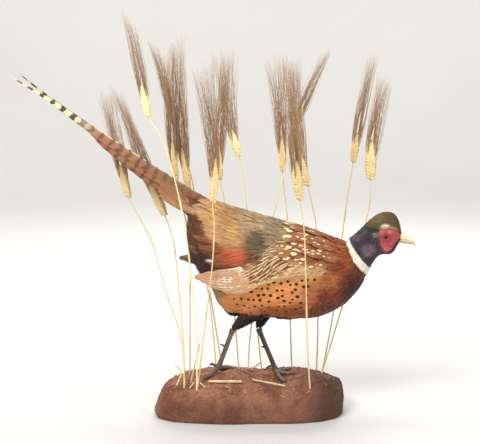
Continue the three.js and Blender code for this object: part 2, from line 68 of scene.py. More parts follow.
class Draws(IntEnum):
    """Where the random numbers of each part start."""

    HIDE = SEED
    QUILLS = SEED + 40
    TAIL = SEED + 60
    CRUMBS = SEED + 80
    CHAFF = SEED + 81
    STALKS = SEED + 100
    COATS = SEED + 200

    def rng(self, own: int = 0) -> np.random.Generator:
        """The random numbers of a part, or of one of its pieces."""
        return np.random.default_rng(self + own)


def paint(code: str) -> tuple[float, ...]:
    """A colour written as six hex digits, in linear light, with an alpha of 1."""
    parts = (int(code[i : i + 2], 16) / 255 for i in (0, 2, 4))
    return (*(c / 12.92 if c < 0.04045 else ((c + 0.055) / 1.055) ** 2.4 for c in parts), 1.0)


def rgb(code: str) -> Array:
    """The same colour as three numbers."""
    return np.array(paint(code)[:3])


def unit(vectors: Array) -> Array:
    """Vectors scaled to length one."""
    return vectors / np.maximum(np.linalg.norm(vectors, axis=-1, keepdims=True), 1e-12)


def ease(values: Array, low: float, high: float) -> Array:
    """A smooth step from 0 at low to 1 at high."""
    share = np.clip((values - low) / (high - low), 0, 1)
    return share * share * (3 - 2 * share)


def along_rows(rows: Sequence[Sequence[float]], share: Array) -> Array:
    """Reads rows of numbers smoothly.

    Args:
        rows: The rows, in order.
        share: Where to read, from 0 at the first row to 1 at the last.

    Returns:
        One row of numbers for each place.
    """
    knots = np.array(rows, float)
    ends = np.vstack([2 * knots[0] - knots[1], knots, 2 * knots[-1] - knots[-2]])
    place = np.clip(np.asarray(share, float), 0, 1) * (len(knots) - 1)
    first = np.clip(np.floor(place).astype(int), 0, len(knots) - 2)
    f = (place - first)[..., None]
    a, b, c, d = (ends[first + i] for i in range(4))
    slope_in, slope_out = (c - a) / 2, (d - b) / 2
    return (
        b
        + f * slope_in
        + f**2 * (3 * (c - b) - 2 * slope_in - slope_out)
        + f**3 * (2 * (b - c) + slope_in + slope_out)
    )


def hump(*axes: tuple[Array, float, float]) -> Array:
    """A smooth hump of height 1. Each axis gives values, its middle and its reach."""
    return np.exp(-sum(((values - middle) / reach) ** 2 for values, middle, reach in axes))


def outline_distance(corners: Sequence[tuple[float, float]], x: Array, z: Array) -> Array:
    """How far points lie outside a closed outline: negative inside it.

    Args:
        corners: The outline's corners.
        x: First coordinate of the points.
        z: Second coordinate of the points.

    Returns:
        Signed distances.
    """
    near = np.full(len(x), np.inf)
    inside = np.zeros(len(x), bool)
    for (x0, z0), (x1, z1) in zip(corners, [*corners[1:], corners[0]]):
        dx, dz = x1 - x0, z1 - z0
        share = np.clip(((x - x0) * dx + (z - z0) * dz) / (dx * dx + dz * dz), 0, 1)
        near = np.minimum(near, np.hypot(x - x0 - share * dx, z - z0 - share * dz))
        crosses = (z0 > z) != (z1 > z)
        reach = x0 + (z - z0) * dx / (dz if dz else 1e-9)
        inside ^= crosses & (x < reach)
    return np.where(inside, -near, near)


def ripple(places: Array, size: float, octaves: int, shift: float) -> Array:
    """Smooth noise of about -1 to 1 at each place, with lumps of the given size."""
    offset = Vector((shift, shift * 1.7, -shift))
    return np.array([noise.fractal(Vector(p) / size + offset, 1.0, 2.0, octaves) for p in places])


def drawn(points: Sequence[Sequence[float]], shares: Array) -> Array:
    """A smooth curve through points.

    Args:
        points: The points, in millimetres.
        shares: Where to read it, as shares of its length.

    Returns:
        Its places there, in metres.
    """
    fine = along_rows(points, np.linspace(0, 1, 80)) * MM
    run = np.concatenate([[0], np.cumsum(np.linalg.norm(np.diff(fine, axis=0), axis=1))])
    place = np.asarray(shares) * run[-1]
    return np.stack([np.interp(place, run, fine[:, i]) for i in range(3)], -1)


# ---- Materials ----


class Value:
    """A shader socket that takes part in Python arithmetic."""

    def __init__(self, sheet: "Sheet", socket: bpy.types.NodeSocket) -> None:
        """Keeps the socket and the sheet it is on."""
        self.sheet = sheet
        self.socket = socket

    def __add__(self, other: "Value | float") -> "Value":
        """Sum."""
        return self.sheet.math("ADD", self, other)

    __radd__ = __add__

    def __mul__(self, other: "Value | float") -> "Value":
        """Product."""
        return self.sheet.math("MULTIPLY", self, other)

    __rmul__ = __mul__

    def __sub__(self, other: "Value | float") -> "Value":
        """Difference."""
        return self.sheet.math("SUBTRACT", self, other)

    def __rsub__(self, other: "Value | float") -> "Value":
        """Reflected difference."""
        return self.sheet.math("SUBTRACT", other, self)

    def __truediv__(self, other: "Value | float") -> "Value":
        """Quotient."""
        return self.sheet.math("DIVIDE", self, other)

    def __pow__(self, other: "Value | float") -> "Value":
        """Power."""
        return self.sheet.math("POWER", self, other)

    def __abs__(self) -> "Value":
        """Size without sign."""
        return self.sheet.math("ABSOLUTE", self)

    def rise(self, low: float, high: float) -> "Value":
        """A smooth step: 0 below low and 1 above high."""
        node = self.sheet.node(
            "ShaderNodeMapRange",
            {"interpolation_type": "SMOOTHSTEP"},
            {"Value": self, "From Min": low, "From Max": high},
        )
        return Value(self.sheet, node.outputs[0])

    def fall(self, low: float, high: float) -> "Value":
        """A smooth step down: 1 below low and 0 above high."""
        return 1 - self.rise(low, high)


class Sheet:
    """A material and the nodes on it."""

    def __init__(self, name: str) -> None:
        """Starts an empty material.

        Args:
            name: Its name.
        """
        self.material = bpy.data.materials.new(name)
        self.material.use_nodes = True
        self.tree = self.material.node_tree
        self.tree.nodes.clear()

    def node(
        self, kind: str, settings: dict | None = None, inputs: dict | None = None
    ) -> bpy.types.Node:
        """Adds any node.

        Args:
            kind: The node's type.
            settings: Its properties, set first. "stops" holds a ramp's places and colours.
            inputs: Values or links of its sockets, by name or number.

        Returns:
            The new node.
        """
        node = self.tree.nodes.new(kind)
        for key, setting in (settings or {}).items():
            if key == "stops":
                ramp = node.color_ramp
                while len(ramp.elements) < len(setting):
                    ramp.elements.new(0.5)
                for element, (place, colour) in zip(ramp.elements, setting):
                    element.position, element.color = place, colour
            else:
                setattr(node, key, setting)
        for key, given in (inputs or {}).items():
            socket = node.inputs[key]
            if isinstance(given, Value):
                self.tree.links.new(given.socket, socket)
            else:
                socket.default_value = given
        return node

    def math(self, operation: str, *values: "Value | float") -> Value:
        """A Math node on the given values."""
        node = self.node("ShaderNodeMath", {"operation": operation}, dict(enumerate(values)))
        return Value(self, node.outputs[0])

    def mix(
        self,
        share: "Value | float",
        first: "Value | tuple",
        second: "Value | tuple",
        blend: str = "MIX",
    ) -> Value:
        """A mixed colour: the first where share is 0, the second where it is 1."""
        node = self.node(
            "ShaderNodeMix",
            {"data_type": "RGBA", "blend_type": blend},
            {0: share, 6: first, 7: second},
        )
        return Value(self, node.outputs[2])

    def places(self) -> Value:
        """Object coordinates."""
        return Value(self, self.node("ShaderNodeTexCoord").outputs["Object"])

    def stretched(self, vector: Value, scale: tuple[float, float, float]) -> Value:
        """Coordinates scaled along each axis."""
        node = self.node("ShaderNodeMapping", None, {"Vector": vector, "Scale": scale})
        return Value(self, node.outputs[0])

    def attribute(self, name: str, output: str = "Fac") -> Value:
        """A piece's own attribute."""
        node = self.node("ShaderNodeAttribute", {"attribute_name": name})
        return Value(self, node.outputs[output])

    def parts(self, vector: Value) -> list[Value]:
        """The three numbers of a vector."""
        split = self.node("ShaderNodeSeparateXYZ", None, {0: vector})
        return [Value(self, output) for output in split.outputs]

    def map_parts(self, name: str) -> list[Value]:
        """The coordinates across and along on a piece's own map."""
        uv = self.node("ShaderNodeUVMap", {"uv_map": name})
        return self.parts(Value(self, uv.outputs[0]))[:2]

    def noise(self, vector: Value, scale: float, detail: float = 3, rough: float = 0.55) -> Value:
        """Cloudy noise of 0 to 1."""
        node = self.node(
            "ShaderNodeTexNoise",
            None,
            {"Vector": vector, "Scale": scale, "Detail": detail, "Roughness": rough},
        )
        return Value(self, node.outputs[0])

    def cells(self, vector: Value, scale: float, feature: str = "F1") -> Value:
        """Distance to the nearest of scattered points."""
        node = self.node(
            "ShaderNodeTexVoronoi", {"feature": feature}, {"Vector": vector, "Scale": scale}
        )
        return Value(self, node.outputs["Distance"])

    def vector(self, x: "Value | float", y: "Value | float", z: "Value | float" = 0.0) -> Value:
        """Three numbers as a vector."""
        return Value(self, self.node("ShaderNodeCombineXYZ", None, {0: x, 1: y, 2: z}).outputs[0])

    def bump(self, height: Value, strength: float, depth: float) -> Value:
        """A normal tilted by a height."""
        node = self.node(
            "ShaderNodeBump", None, {"Strength": strength, "Distance": depth, "Height": height}
        )
        return Value(self, node.outputs[0])

    def finish(self, **inputs: "Value | float | tuple") -> bpy.types.Material:
        """Ends the material with a Principled surface.

        Args:
            **inputs: Values or links of its sockets, whose names have _ for a space.

        Returns:
            The material.
        """
        named = {key.replace("_", " "): value for key, value in inputs.items()}
        surface = self.node("ShaderNodeBsdfPrincipled", None, named)
        self.node("ShaderNodeOutputMaterial", None, {"Surface": Value(self, surface.outputs[0])})
        return self.material


BARB_SHADE = (0.12, 0.09, 0.07, 1.0)
ROOT_SHADE = (0.25, 0.2, 0.17, 1.0)
SHAFT_COLOUR = (0.3, 0.2, 0.12, 1.0)
FLIGHT_PITCH = 10.5 * MM


class Pattern(Enum):
    """What is drawn on each vane of a coat."""

    PLAIN = "plain"
    PEARL = "cream drop with a dark border"
    DROP = "dark spot at the tip"
    FRINGE = "dark edge at the tip"
    STREAK = "pale edges and a dark middle"
    FLIGHT = "pale edge with notched bars"
    BANDED = "dark bars across"


class Ink:
    """What a pattern can read at each place of a vane."""

    def __init__(self, sheet: Sheet) -> None:
        """Reads the map and the attributes of the piece.

        Args:
            sheet: The material in which the pattern is drawn.
        """
        self.sheet = sheet
        self.side, self.along = sheet.map_parts("Vane")
        self.across = abs(self.side * 2 - 1)
        self.way = sheet.attribute("way")
        self.tint = sheet.attribute("tint", "Color")
        self.mark = sheet.attribute("mark")
        spot = sheet.vector(self.side * 6, self.along * 6, self.mark * 30)
        self.wobble = sheet.noise(spot, 1.0, 2) - 0.5

    def own(self, times: float) -> Value:
        """A number of 0 to 1 that differs from vane to vane."""
        return self.sheet.math("FRACT", self.mark * times)

    def larger(self, first: "Value | float", second: "Value | float") -> Value:
        """The larger of two numbers."""
        return self.sheet.math("MAXIMUM", first, second)

    def ring(self, along: Value, across: Value) -> Value:
        """How far out a place is from the middle of a drop, where 1 is its own size."""
        reach = self.sheet.math("SQRT", along**2 + across**2)
        return reach / self.larger(self.mark, 0.02)


@dataclass(frozen=True)
class Plumage:
    """The finish of a coat of vanes or strands, on top of each one's own tint."""

    name: str
    pattern: Pattern = Pattern.PLAIN
    mark: str = "f4dcb4"
    border: str = "3a2416"
    barb_pitch: float = 1.2 * MM
    barb_rake: float = 5.0
    barb_depth: float = 0.2
    roughness: float = 0.62
    sheen: float = 0.03
    sheen_tint: str = "ffffff"
    metallic: float = 0.0
    loose: bool = False

    def dress(self) -> bpy.types.Material:
        """Makes the material.

        Returns:
            The material, with the pattern, barbs, shaft and darker root of each vane.
        """
        sheet = Sheet(self.name)
        ink = Ink(sheet)
        patterns = {
            Pattern.PEARL: self._pearl, Pattern.DROP: self._drop, Pattern.FRINGE: self._fringe,
            Pattern.STREAK: self._streak, Pattern.FLIGHT: self._flight,
            Pattern.BANDED: self._banded,
        }
        pattern = patterns.get(self.pattern)
        colour = pattern(ink, paint(self.mark), paint(self.border)) if pattern else ink.tint
        turns = ink.way / self.barb_pitch - ink.across * self.barb_rake
        barbs = sheet.math("SINE", turns * math.tau) * 0.5 + 0.5
        if self.loose:
            spot = sheet.vector(ink.side * 14, ink.along * 1.5, ink.mark * 40)
            barbs = sheet.noise(spot, 1.0, 2).rise(0.3, 0.7)
        colour = sheet.mix((1 - barbs) * self.barb_depth, colour, BARB_SHADE, "MULTIPLY")
        colour = sheet.mix(ink.along.fall(0.0, 0.45) * 0.55, colour, ROOT_SHADE, "MULTIPLY")
        shaft = ink.across.fall(0.03, 0.09) * ink.along.fall(0.8, 0.95) * 0.35
        return sheet.finish(
            Base_Color=sheet.mix(shaft, colour, SHAFT_COLOUR),
            Roughness=self.roughness + (1 - barbs) * 0.12,
            Normal=sheet.bump(barbs, 0.35, 0.25 * MM),
            Metallic=self.metallic,
            Specular_IOR_Level=0.28,
            Sheen_Weight=self.sheen,
            Sheen_Roughness=0.4,
            Sheen_Tint=paint(self.sheen_tint),
        )

    @staticmethod
    def _pearl(ink: Ink, pale: Paint, dark: Paint) -> Value:
        """A pale drop near the tip, each of its own size and place, in a soft dark ring.

        Args:
            ink: What can be read there.
            pale: The mark's colour.
            dark: The border's colour.

        Returns:
            The colour.
        """
        aside = (ink.side * 2 - 1) + (ink.own(37) - 0.5) * 0.35
        narrow = 0.36 - ink.along.fall(0.62, 0.86) * 0.16
        narrow = narrow * (0.65 + ink.own(91) * 0.6)
        middle = (ink.along - 0.77 - ink.own(53) * 0.06) / 0.165
        reach = ink.ring(middle, aside / narrow) + ink.wobble * 1.2
        shown = ink.mark.rise(0.05, 0.25)
        ringed = ink.sheet.mix(reach.fall(1.0, 2.1) * shown * 0.6, ink.tint, dark)
        return ink.sheet.mix(reach.fall(0.82, 1.05) * shown, ringed, pale)

    @staticmethod
    def _drop(ink: Ink, _pale: Paint, dark: Paint) -> Value:
        """A round dark spot at the tip."""
        reach = ink.ring((ink.along - 0.88) / 0.088, ink.across / 0.37) + ink.wobble * 0.6
        return ink.sheet.mix(reach.fall(0.75, 1.1) * ink.mark.rise(0.05, 0.2), ink.tint, dark)

    @staticmethod
    def _fringe(ink: Ink, _pale: Paint, dark: Paint) -> Value:
        """A dark fringe round the tip and a faint dark middle.

        Args:
            ink: What can be read there.
            dark: The border's colour.

        Returns:
            The colour.
        """
        edge = ink.along + ink.across * ink.across * 0.1 + ink.wobble * 0.1
        fringe = edge.rise(0.9, 1.02) * ink.across.fall(0.35, 0.85) * ink.mark * 0.8
        middle = ink.across.fall(0.05, 0.4) * ink.along.rise(0.55, 0.95) * ink.mark * 0.3
        return ink.sheet.mix(ink.larger(fringe, middle), ink.tint, dark)

    @staticmethod
    def _streak(ink: Ink, pale: Paint, dark: Paint) -> Value:
        """Pale edges and a dark middle.

        Args:
            ink: What can be read there.
            pale: The edges' colour.
            dark: The middle's colour.

        Returns:
            The colour.
        """
        edges = (ink.across + ink.wobble * 0.5).rise(0.45, 0.72)
        middle = (ink.across + ink.wobble * 0.3).fall(0.2, 0.5) * ink.mark
        return ink.sheet.mix(middle * 0.85, ink.sheet.mix(edges, ink.tint, pale), dark)

    @staticmethod
    def _flight(ink: Ink, pale: Paint, dark: Paint) -> Value:
        """Pale notches along both edges of a quill, which fade towards its tip, and a band of
        painted shade between shaft and edge.

        Args:
            ink: What can be read there.
            pale: The notches' colour.
            dark: The colour of the painted shade between shaft and edge.

        Returns:
            The colour.
        """
        across = ink.across
        turns = ink.way / FLIGHT_PITCH + across * 0.9 + ink.wobble * 1.6
        bars = ink.sheet.math("SINE", turns * math.tau)
        bare = ink.along.rise(0.66, 0.88) * 0.8
        notch = bars.rise(0.0, 0.6) * across.rise(0.2, 0.5) * (0.25 + ink.mark * 0.5) * (1 - bare)
        edge = (across + ink.wobble * 0.25).rise(0.76, 0.88) * (1 - bare)
        # Painted shade: a darker band between shaft and edge, under the edge of the next quill.
        between = across.rise(0.3, 0.5) * across.fall(0.55, 0.75) * 0.35
        return ink.sheet.mix(
            ink.larger(notch, edge), ink.sheet.mix(between, ink.tint, dark), pale
        )

    @staticmethod
    def _banded(ink: Ink, pale: Paint, dark: Paint) -> Value:
        """Bars that draw closer towards the tip, on a cream end and ridge of the long feathers.

        Args:
            ink: What can be read there. Its mark is 1 or -1 on the long pair.
            pale: The cream.
            dark: The bars' colour.

        Returns:
            The colour.
        """
        sheet, across, way = ink.sheet, ink.across, ink.way
        phase = sheet.math("LOGARITHM", 1 + way / 0.935, math.e) * 55
        phase = phase - across * 0.1 + ink.wobble * 0.12
        bar = abs(sheet.math("FRACT", phase) - 0.5)
        long = abs(ink.mark).rise(0.8, 0.95)
        far = way.rise(0.24, 0.31) * long
        ridge = ((ink.side * 2 - 1) * ink.mark).rise(0.7, 0.82) * long * (1 - far)
        cream = ink.larger(ridge * 0.85, across.fall(0.86, 0.98) * far)
        ticks = bar.fall(0.12 + far * 0.08, 0.16 + far * 0.08) * ink.larger(ridge, far) * 0.95
        soft = bar.fall(0.04, 0.34) * (0.26 + way.rise(0.07, 0.14) * 0.36)
        margin = across.rise(0.88, 0.98) * far * 0.7
        marks = ink.larger(ink.larger(ticks, soft), margin)
        return sheet.mix(marks, sheet.mix(cream, ink.tint, pale), dark)


# ---- Helpers for meshes ----


ALONG_Y = Matrix.Rotation(-math.pi / 2, 4, "X") @ Matrix.Translation((0, 0, 0.5))


def column(
    bm: BMesh, sides: int, rings: int, tip: float = 1.0, matrix: Matrix | None = None
) -> list[bmesh.types.BMVert]:
    """Adds a closed prism of unit radius and unit length, cut into rings.

    Args:
        bm: The mesh to add to.
        sides: How many faces around.
        rings: How many rings of faces.
        tip: Radius of the far end.
        matrix: Where it stands, if not along z and centred on the origin.

    Returns:
        Its vertices.
    """
    known, stand = len(bm.verts), matrix or Matrix()
    bmesh.ops.create_cone(
        bm, cap_ends=True, segments=sides, radius1=1.0, radius2=tip, depth=1.0, matrix=stand
    )
    fresh, axis = set(list(bm.verts)[known:]), stand.col[2].xyz
    lengthwise = [
        e
        for e in bm.edges
        if e.verts[0] in fresh and abs((e.verts[0].co - e.verts[1].co).dot(axis)) > 0.5
    ]
    bmesh.ops.subdivide_edges(bm, edges=lengthwise, cuts=rings - 1)
    return list(bm.verts)[known:]


def spots(vertices: Iterable[bmesh.types.BMVert | bpy.types.MeshVertex]) -> Array:
    """The places of some vertices."""
    return np.array([v.co for v in vertices])


def faced(bm: BMesh) -> tuple[Array, Array]:
    """The places and the fresh normals of a bmesh's vertices."""
    bm.normal_update()
    return spots(bm.verts), np.array([v.normal for v in bm.verts])


def move(vertices: Iterable[bmesh.types.BMVert], places: Array) -> None:
    """Moves vertices to places."""
    for vertex, place in zip(vertices, places):
        vertex.co = place


def keep(mesh: bpy.types.Mesh, **numbers: Array) -> None:
    """Keeps attributes on a mesh.

    Args:
        mesh: The mesh.
        **numbers: A number or a colour for each vertex, by the attribute's name.
    """
    for name, values in numbers.items():
        if values.ndim == 1:
            layer = mesh.attributes.new(name, "FLOAT", "POINT")
            layer.data.foreach_set("value", values.astype(np.float32))
        else:
            layer = mesh.attributes.new(name, "FLOAT_COLOR", "POINT")
            colours = np.hstack([values, np.ones((len(values), 1))])
            layer.data.foreach_set("color", colours.ravel())


def relax(bm: BMesh, verts: Sequence[bmesh.types.BMVert], rounds: int) -> None:
    """Smooths vertices a number of times."""
    for _ in range(rounds):
        bmesh.ops.smooth_vert(
            bm, verts=verts, factor=0.5, use_axis_x=True, use_axis_y=True, use_axis_z=True
        )


def evened(bm: BMesh, voxel: float, rounds: int) -> BMesh:
    """Joins closed shapes into one with even faces, and smooths it.

    Args:
        bm: The shapes, which are freed.
        voxel: Size of the faces in millimetres.
        rounds: How many times it is smoothed.

    Returns:
        The joined shape.
    """
    mesh = bpy.data.meshes.new("rough")
    bm.to_mesh(mesh)
    bm.free()
    rough = shown("rough", mesh)
    remesh = rough.modifiers.new("Even", "REMESH")
    remesh.mode, remesh.voxel_size = "VOXEL", voxel * MM
    graph = bpy.context.evaluated_depsgraph_get()
    even = bmesh.new()
    even.from_mesh(bpy.data.meshes.new_from_object(rough.evaluated_get(graph)))
    bpy.data.objects.remove(rough)
    relax(even, list(even.verts), rounds)
    return even


# ---- Blanks: one vane, tuft, grain or awn, laid many times along paths ----


@dataclass
class Blank:
    """A small closed shape: x across and z up in half widths, and y along from 0 to 1."""

    places: Array
    map: Array
    loops: Array
    totals: Array
    rim: Array

    @classmethod
    def from_bmesh(cls, bm: BMesh, flat: Array, sharp: float = 1.2) -> "Blank":
        """Takes a finished bmesh apart and frees it.

        Args:
            bm: The shape.
            flat: Where each vertex is on the vane's map: -1 to 1 across and 0 to 1 along.
            sharp: The least angle between faces, in radians, that makes an edge sharp.

        Returns:
            The blank.
        """
        bmesh.ops.recalc_face_normals(bm, faces=bm.faces)
        bm.verts.index_update()
        places = spots(bm.verts)
        spread = np.stack([flat[:, 0] * 0.5 + 0.5, flat[:, 1]], 1).clip(0, 1)
        loops = np.array([v.index for f in bm.faces for v in f.verts])
        totals = np.array([len(f.verts) for f in bm.faces])
        rim = np.zeros((len(places), len(places)), bool)
        for edge in bm.edges:
            if edge.calc_face_angle(0.0) > sharp:
                a, b = edge.verts[0].index, edge.verts[1].index
                rim[a, b] = rim[b, a] = True
        bm.free()
        return cls(places, spread, loops, totals, rim)


@dataclass(frozen=True)
class VaneShape:
    """The outline of a vane: shares of its half width, and where along it is widest."""

    rows: int = 10
    columns: int = 4
    root: float = 0.35
    widest: float = 0.6
    tip: float = 0.12
    point: float = 0.5
    crown: float = 0.22
    shaft: float = 0.05
    ragged: float = 0.1

    def blank(self, rng: np.random.Generator) -> Blank:
        """A closed vane: a crowned face with a flat back.

        Args:
            rng: Random numbers for its frayed edge.

        Returns:
            The blank.
        """
        bm = bmesh.new()
        bmesh.ops.create_grid(bm, x_segments=self.columns, y_segments=self.rows, size=1.0)
        sides = [e for e in bm.edges if e.is_boundary and all(abs(v.co.x) > 0.99 for v in e.verts)]
        bmesh.ops.bridge_loops(bm, edges=sides)
        bmesh.ops.holes_fill(bm, edges=[e for e in bm.edges if e.is_boundary], sides=0)
        flat = spots(bm.verts)
        across = flat[:, 0]
        row = np.rint((flat[:, 1] * 0.5 + 0.5) * self.rows).astype(int)
        steps = 1 - (1 - np.arange(self.rows + 1) / self.rows) ** 1.35
        along, room = steps[row], np.gradient(steps)[row] * 0.4
        fraying = rng.uniform(-1, 1, (2, self.rows + 1)) * self.ragged
        fray = fraying[(across > 0).astype(int), row] * np.abs(across) ** 2
        width = self.width(along) * (1 + fray)
        x = across * width
        y = along + np.clip(fray * 0.25 + 0.03 * across**2 * np.sin(row * 2.4), -room, room)
        z = (self.crown * (1 - across**2) + self.shaft * (np.abs(across) < 0.01)) * width
        move(bm.verts, np.stack([x, y, z], 1))
        return Blank.from_bmesh(bm, np.stack([across, along], 1), 0.65)

    def width(self, along: Array) -> Array:
        """The outline.

        Args:
            along: Shares of the length.

        Returns:
            The half width there, as a share of the widest.
        """
        rising = self.root + (1 - self.root) * np.sin(
            np.clip(along / self.widest, 0, 1) * math.pi / 2
        )
        past = np.clip((along - self.widest) / (1 - self.widest), 0, 1)
        falling = self.tip + (1 - self.tip) * (1 - past**2) ** self.point
        return np.where(along < self.widest, rising, falling)


@dataclass(frozen=True)
class TuftShape:
    """A tuft of thin strands that spread from one root."""

    strands: int = 7
    rings: int = 4
    thickness: float = 0.16
    spread: float = 0.9

    def blank(self, rng: np.random.Generator) -> Blank:
        """A tuft of closed tapering strands.

        Args:
            rng: Random numbers for their lengths and bends.

        Returns:
            The blank.
        """
        whole = bmesh.new()
        flat: list[tuple[float, float]] = []
        for i in range(self.strands):
            fan = (i + 0.5) / self.strands * 2 - 1
            strand = column(whole, 3, self.rings, 0.12, ALONG_Y)
            length = rng.uniform(0.7, 1.0) * (1 - 0.2 * abs(fan))
            bow = rng.uniform(-0.25, 0.25)
            lift = rng.uniform(0.0, 0.35)
            for vertex in strand:
                y = vertex.co.y
                thin = self.thickness * (1 - 0.55 * y)
                middle = fan * self.spread * (0.25 + 0.75 * y) + bow * math.sin(y * 3)
                vertex.co.x = vertex.co.x * thin + middle
                vertex.co.z = vertex.co.z * thin * 0.6 + lift * y + thin * 0.5
                vertex.co.y = y * length
                flat.append((fan * 0.8 + vertex.co.x * 0.1, y))
        return Blank.from_bmesh(whole, np.array(flat))


@dataclass
class Paths:
    """Centre lines: places and ways up of the stations along each, and half widths."""

    centre: Array
    up: Array
    half_width: Array

    @classmethod
    def one(cls, centre: Array, up: Array, half_width: float) -> "Paths":
        """A single path."""
        return cls(centre[None], up[None], np.array([half_width]))

    @property
    def length(self) -> Array:
        """Length of each path."""
        return np.linalg.norm(np.diff(self.centre, axis=1), axis=2).sum(1)

    def some(self, chosen: Array) -> "Paths":
        """Only the chosen paths."""
        return Paths(self.centre[chosen], self.up[chosen], self.half_width[chosen])

    def rolled(self, angle: Array) -> "Paths":
        """The same paths with their ways up turned about them.

        Args:
            angle: How far each is turned, in radians.

        Returns:
            The turned paths.
        """
        side = np.cross(unit(np.gradient(self.centre, axis=1)), self.up)
        turn = angle[:, None, None]
        return Paths(self.centre, self.up * np.cos(turn) + side * np.sin(turn), self.half_width)

    def bent(self, blank: Blank) -> Array:
        """Lays a blank along each path.

        Args:
            blank: The shape.

        Returns:
            The places of its vertices, path by path.
        """
        last = self.centre.shape[1] - 1
        place = blank.places[:, 1] * last
        first = np.clip(np.floor(place).astype(int), 0, last - 1)
        f = (place - first)[None, :, None]
        tangents = unit(np.gradient(self.centre, axis=1))
        middle = self.centre[:, first] * (1 - f) + self.centre[:, first + 1] * f
        up = self.up[:, first] * (1 - f) + self.up[:, first + 1] * f
        tangent = tangents[:, first] * (1 - f) + tangents[:, first + 1] * f
        side = unit(np.cross(tangent, up))
        up = unit(np.cross(side, tangent))
        wide = self.half_width[:, None, None]
        across, above = blank.places[None, :, 0:1], blank.places[None, :, 2:3]
        return middle + side * across * wide + up * above * wide


@dataclass
class Heap:
    """Gathers many laid blanks into one mesh with its maps and attributes."""

    name: str
    places: list[Array] = field(default_factory=list)
    vane: list[Array] = field(default_factory=list)
    patch: list[Array] = field(default_factory=list)
    tint: list[Array] = field(default_factory=list)
    mark: list[Array] = field(default_factory=list)
    way: list[Array] = field(default_factory=list)
    loops: list[Array] = field(default_factory=list)
    totals: list[Array] = field(default_factory=list)
    sharp: list[tuple[int, int, int, Array]] = field(default_factory=list)
    count: int = 0

    def lay(
        self,
        blank: Blank,
        paths: Paths,
        tint: Array,
        mark: Array,
        corner: Array,
        patch: tuple[float, float],
    ) -> None:
        """Lays a blank along paths.

        Args:
            blank: The shape.
            paths: Where it is laid.
            tint: A colour for each path, or for each vertex of each.
            mark: A number for each path, which its pattern reads.
            corner: The lower corner of each path's patch on the bake map.
            patch: The patch's width and height.
        """
        many, corners = len(paths.half_width), len(blank.places)
        if not many:
            return
        self.places.append(paths.bent(blank).reshape(-1, 3))
        self.vane.append(np.tile(blank.map, (many, 1)))
        self.patch.append((corner[:, None] + blank.map[None] * np.array(patch)).reshape(-1, 2))
        self.tint.append(tint.reshape(-1, 3) if tint.ndim == 3 else np.repeat(tint, corners, 0))
        self.mark.append(np.repeat(mark, corners))
        self.way.append((paths.length[:, None] * blank.map[None, :, 1]).ravel())
        starts = self.count + np.arange(many) * corners
        self.loops.append((starts[:, None] + blank.loops[None]).ravel())
        self.totals.append(np.tile(blank.totals, many))
        self.sharp.append((self.count, self.count + many * corners, corners, blank.rim))
        self.count += many * corners

    def piece(self, material: bpy.types.Material) -> bpy.types.Object:
        """Makes the object.

        Args:
            material: Its finish.

        Returns:
            The object, with both maps, the attributes and the sharp edges.
        """
        mesh = bpy.data.meshes.new(self.name)
        places, loops = np.concatenate(self.places), np.concatenate(self.loops)
        totals = np.concatenate(self.totals)
        mesh.vertices.add(len(places))
        mesh.vertices.foreach_set("co", places.ravel().astype(np.float32))
        mesh.loops.add(len(loops))
        mesh.loops.foreach_set("vertex_index", loops.astype(np.int32))
        mesh.polygons.add(len(totals))
        starts = np.concatenate([[0], np.cumsum(totals)[:-1]])
        mesh.polygons.foreach_set("loop_start", starts.astype(np.int32))
        mesh.update(calc_edges=True)
        mesh.polygons.foreach_set("use_smooth", np.ones(len(totals), bool))
        for name, stored in (("Vane", self.vane), ("OFBake", self.patch)):
            layer = mesh.uv_layers.new(name=name)
            layer.data.foreach_set("uv", np.concatenate(stored)[loops].ravel().astype(np.float32))
        kept = {"tint": self.tint, "mark": self.mark, "way": self.way}
        keep(mesh, **{name: np.concatenate(rows) for name, rows in kept.items()})
        ends = np.zeros(len(mesh.edges) * 2, np.int32)
        mesh.edges.foreach_get("vertices", ends)
        ends = ends.reshape(-1, 2)
        crease = np.zeros(len(ends), bool)
        for low, high, corners, rim in self.sharp:
            here = (ends[:, 0] >= low) & (ends[:, 0] < high)
            local = (ends[here] - low) % corners
            crease[here] = rim[local[:, 0], local[:, 1]]
        mesh.attributes.new("sharp_edge", "BOOLEAN", "EDGE").data.foreach_set("value", crease)
        mesh.materials.append(material)
        mesh.validate()
        return shown(self.name, mesh)


def shown(name: str, data: bpy.types.ID) -> bpy.types.Object:
    """Links a mesh, light or camera to the scene.

    Args:
        name: The object's name.
        data: What it shows.

    Returns:
        The object, at the origin.
    """
    piece = bpy.data.objects.new(name, data)
    bpy.context.scene.collection.objects.link(piece)
    return piece


def register(piece: bpy.types.Object, slot: str, *nodes: str) -> None:
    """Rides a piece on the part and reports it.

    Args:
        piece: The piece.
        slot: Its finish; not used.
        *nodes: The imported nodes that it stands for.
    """
    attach(piece, ROOT)
    if nodes:
        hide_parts(*nodes)
    faces = sum(len(p.vertices) - 2 for p in piece.data.polygons)
    LOG.info("%s: %d triangles", piece.name, faces)


def from_bmesh(name: str, bm: BMesh, material: bpy.types.Material) -> bpy.types.Object:
    """Makes a smooth object.

    Args:
        name: Its name.
        bm: Its shape, which is freed.
        material: Its finish.

    Returns:
        The object.
    """
    mesh = bpy.data.meshes.new(name)
    for face in bm.faces:
        face.smooth = True
    bm.to_mesh(mesh)
    bm.free()
    mesh.materials.append(material)
    return shown(name, mesh)


def node_bmesh(name: str) -> BMesh:
    """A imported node's solid.

    Args:
        name: The node.

    Returns:
        Its shape, with its loose triangles joined.
    """
    bm = bmesh.new()
    bm.from_mesh(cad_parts[name].data)
    bmesh.ops.remove_doubles(bm, verts=bm.verts, dist=0.01 * MM)
    return bm


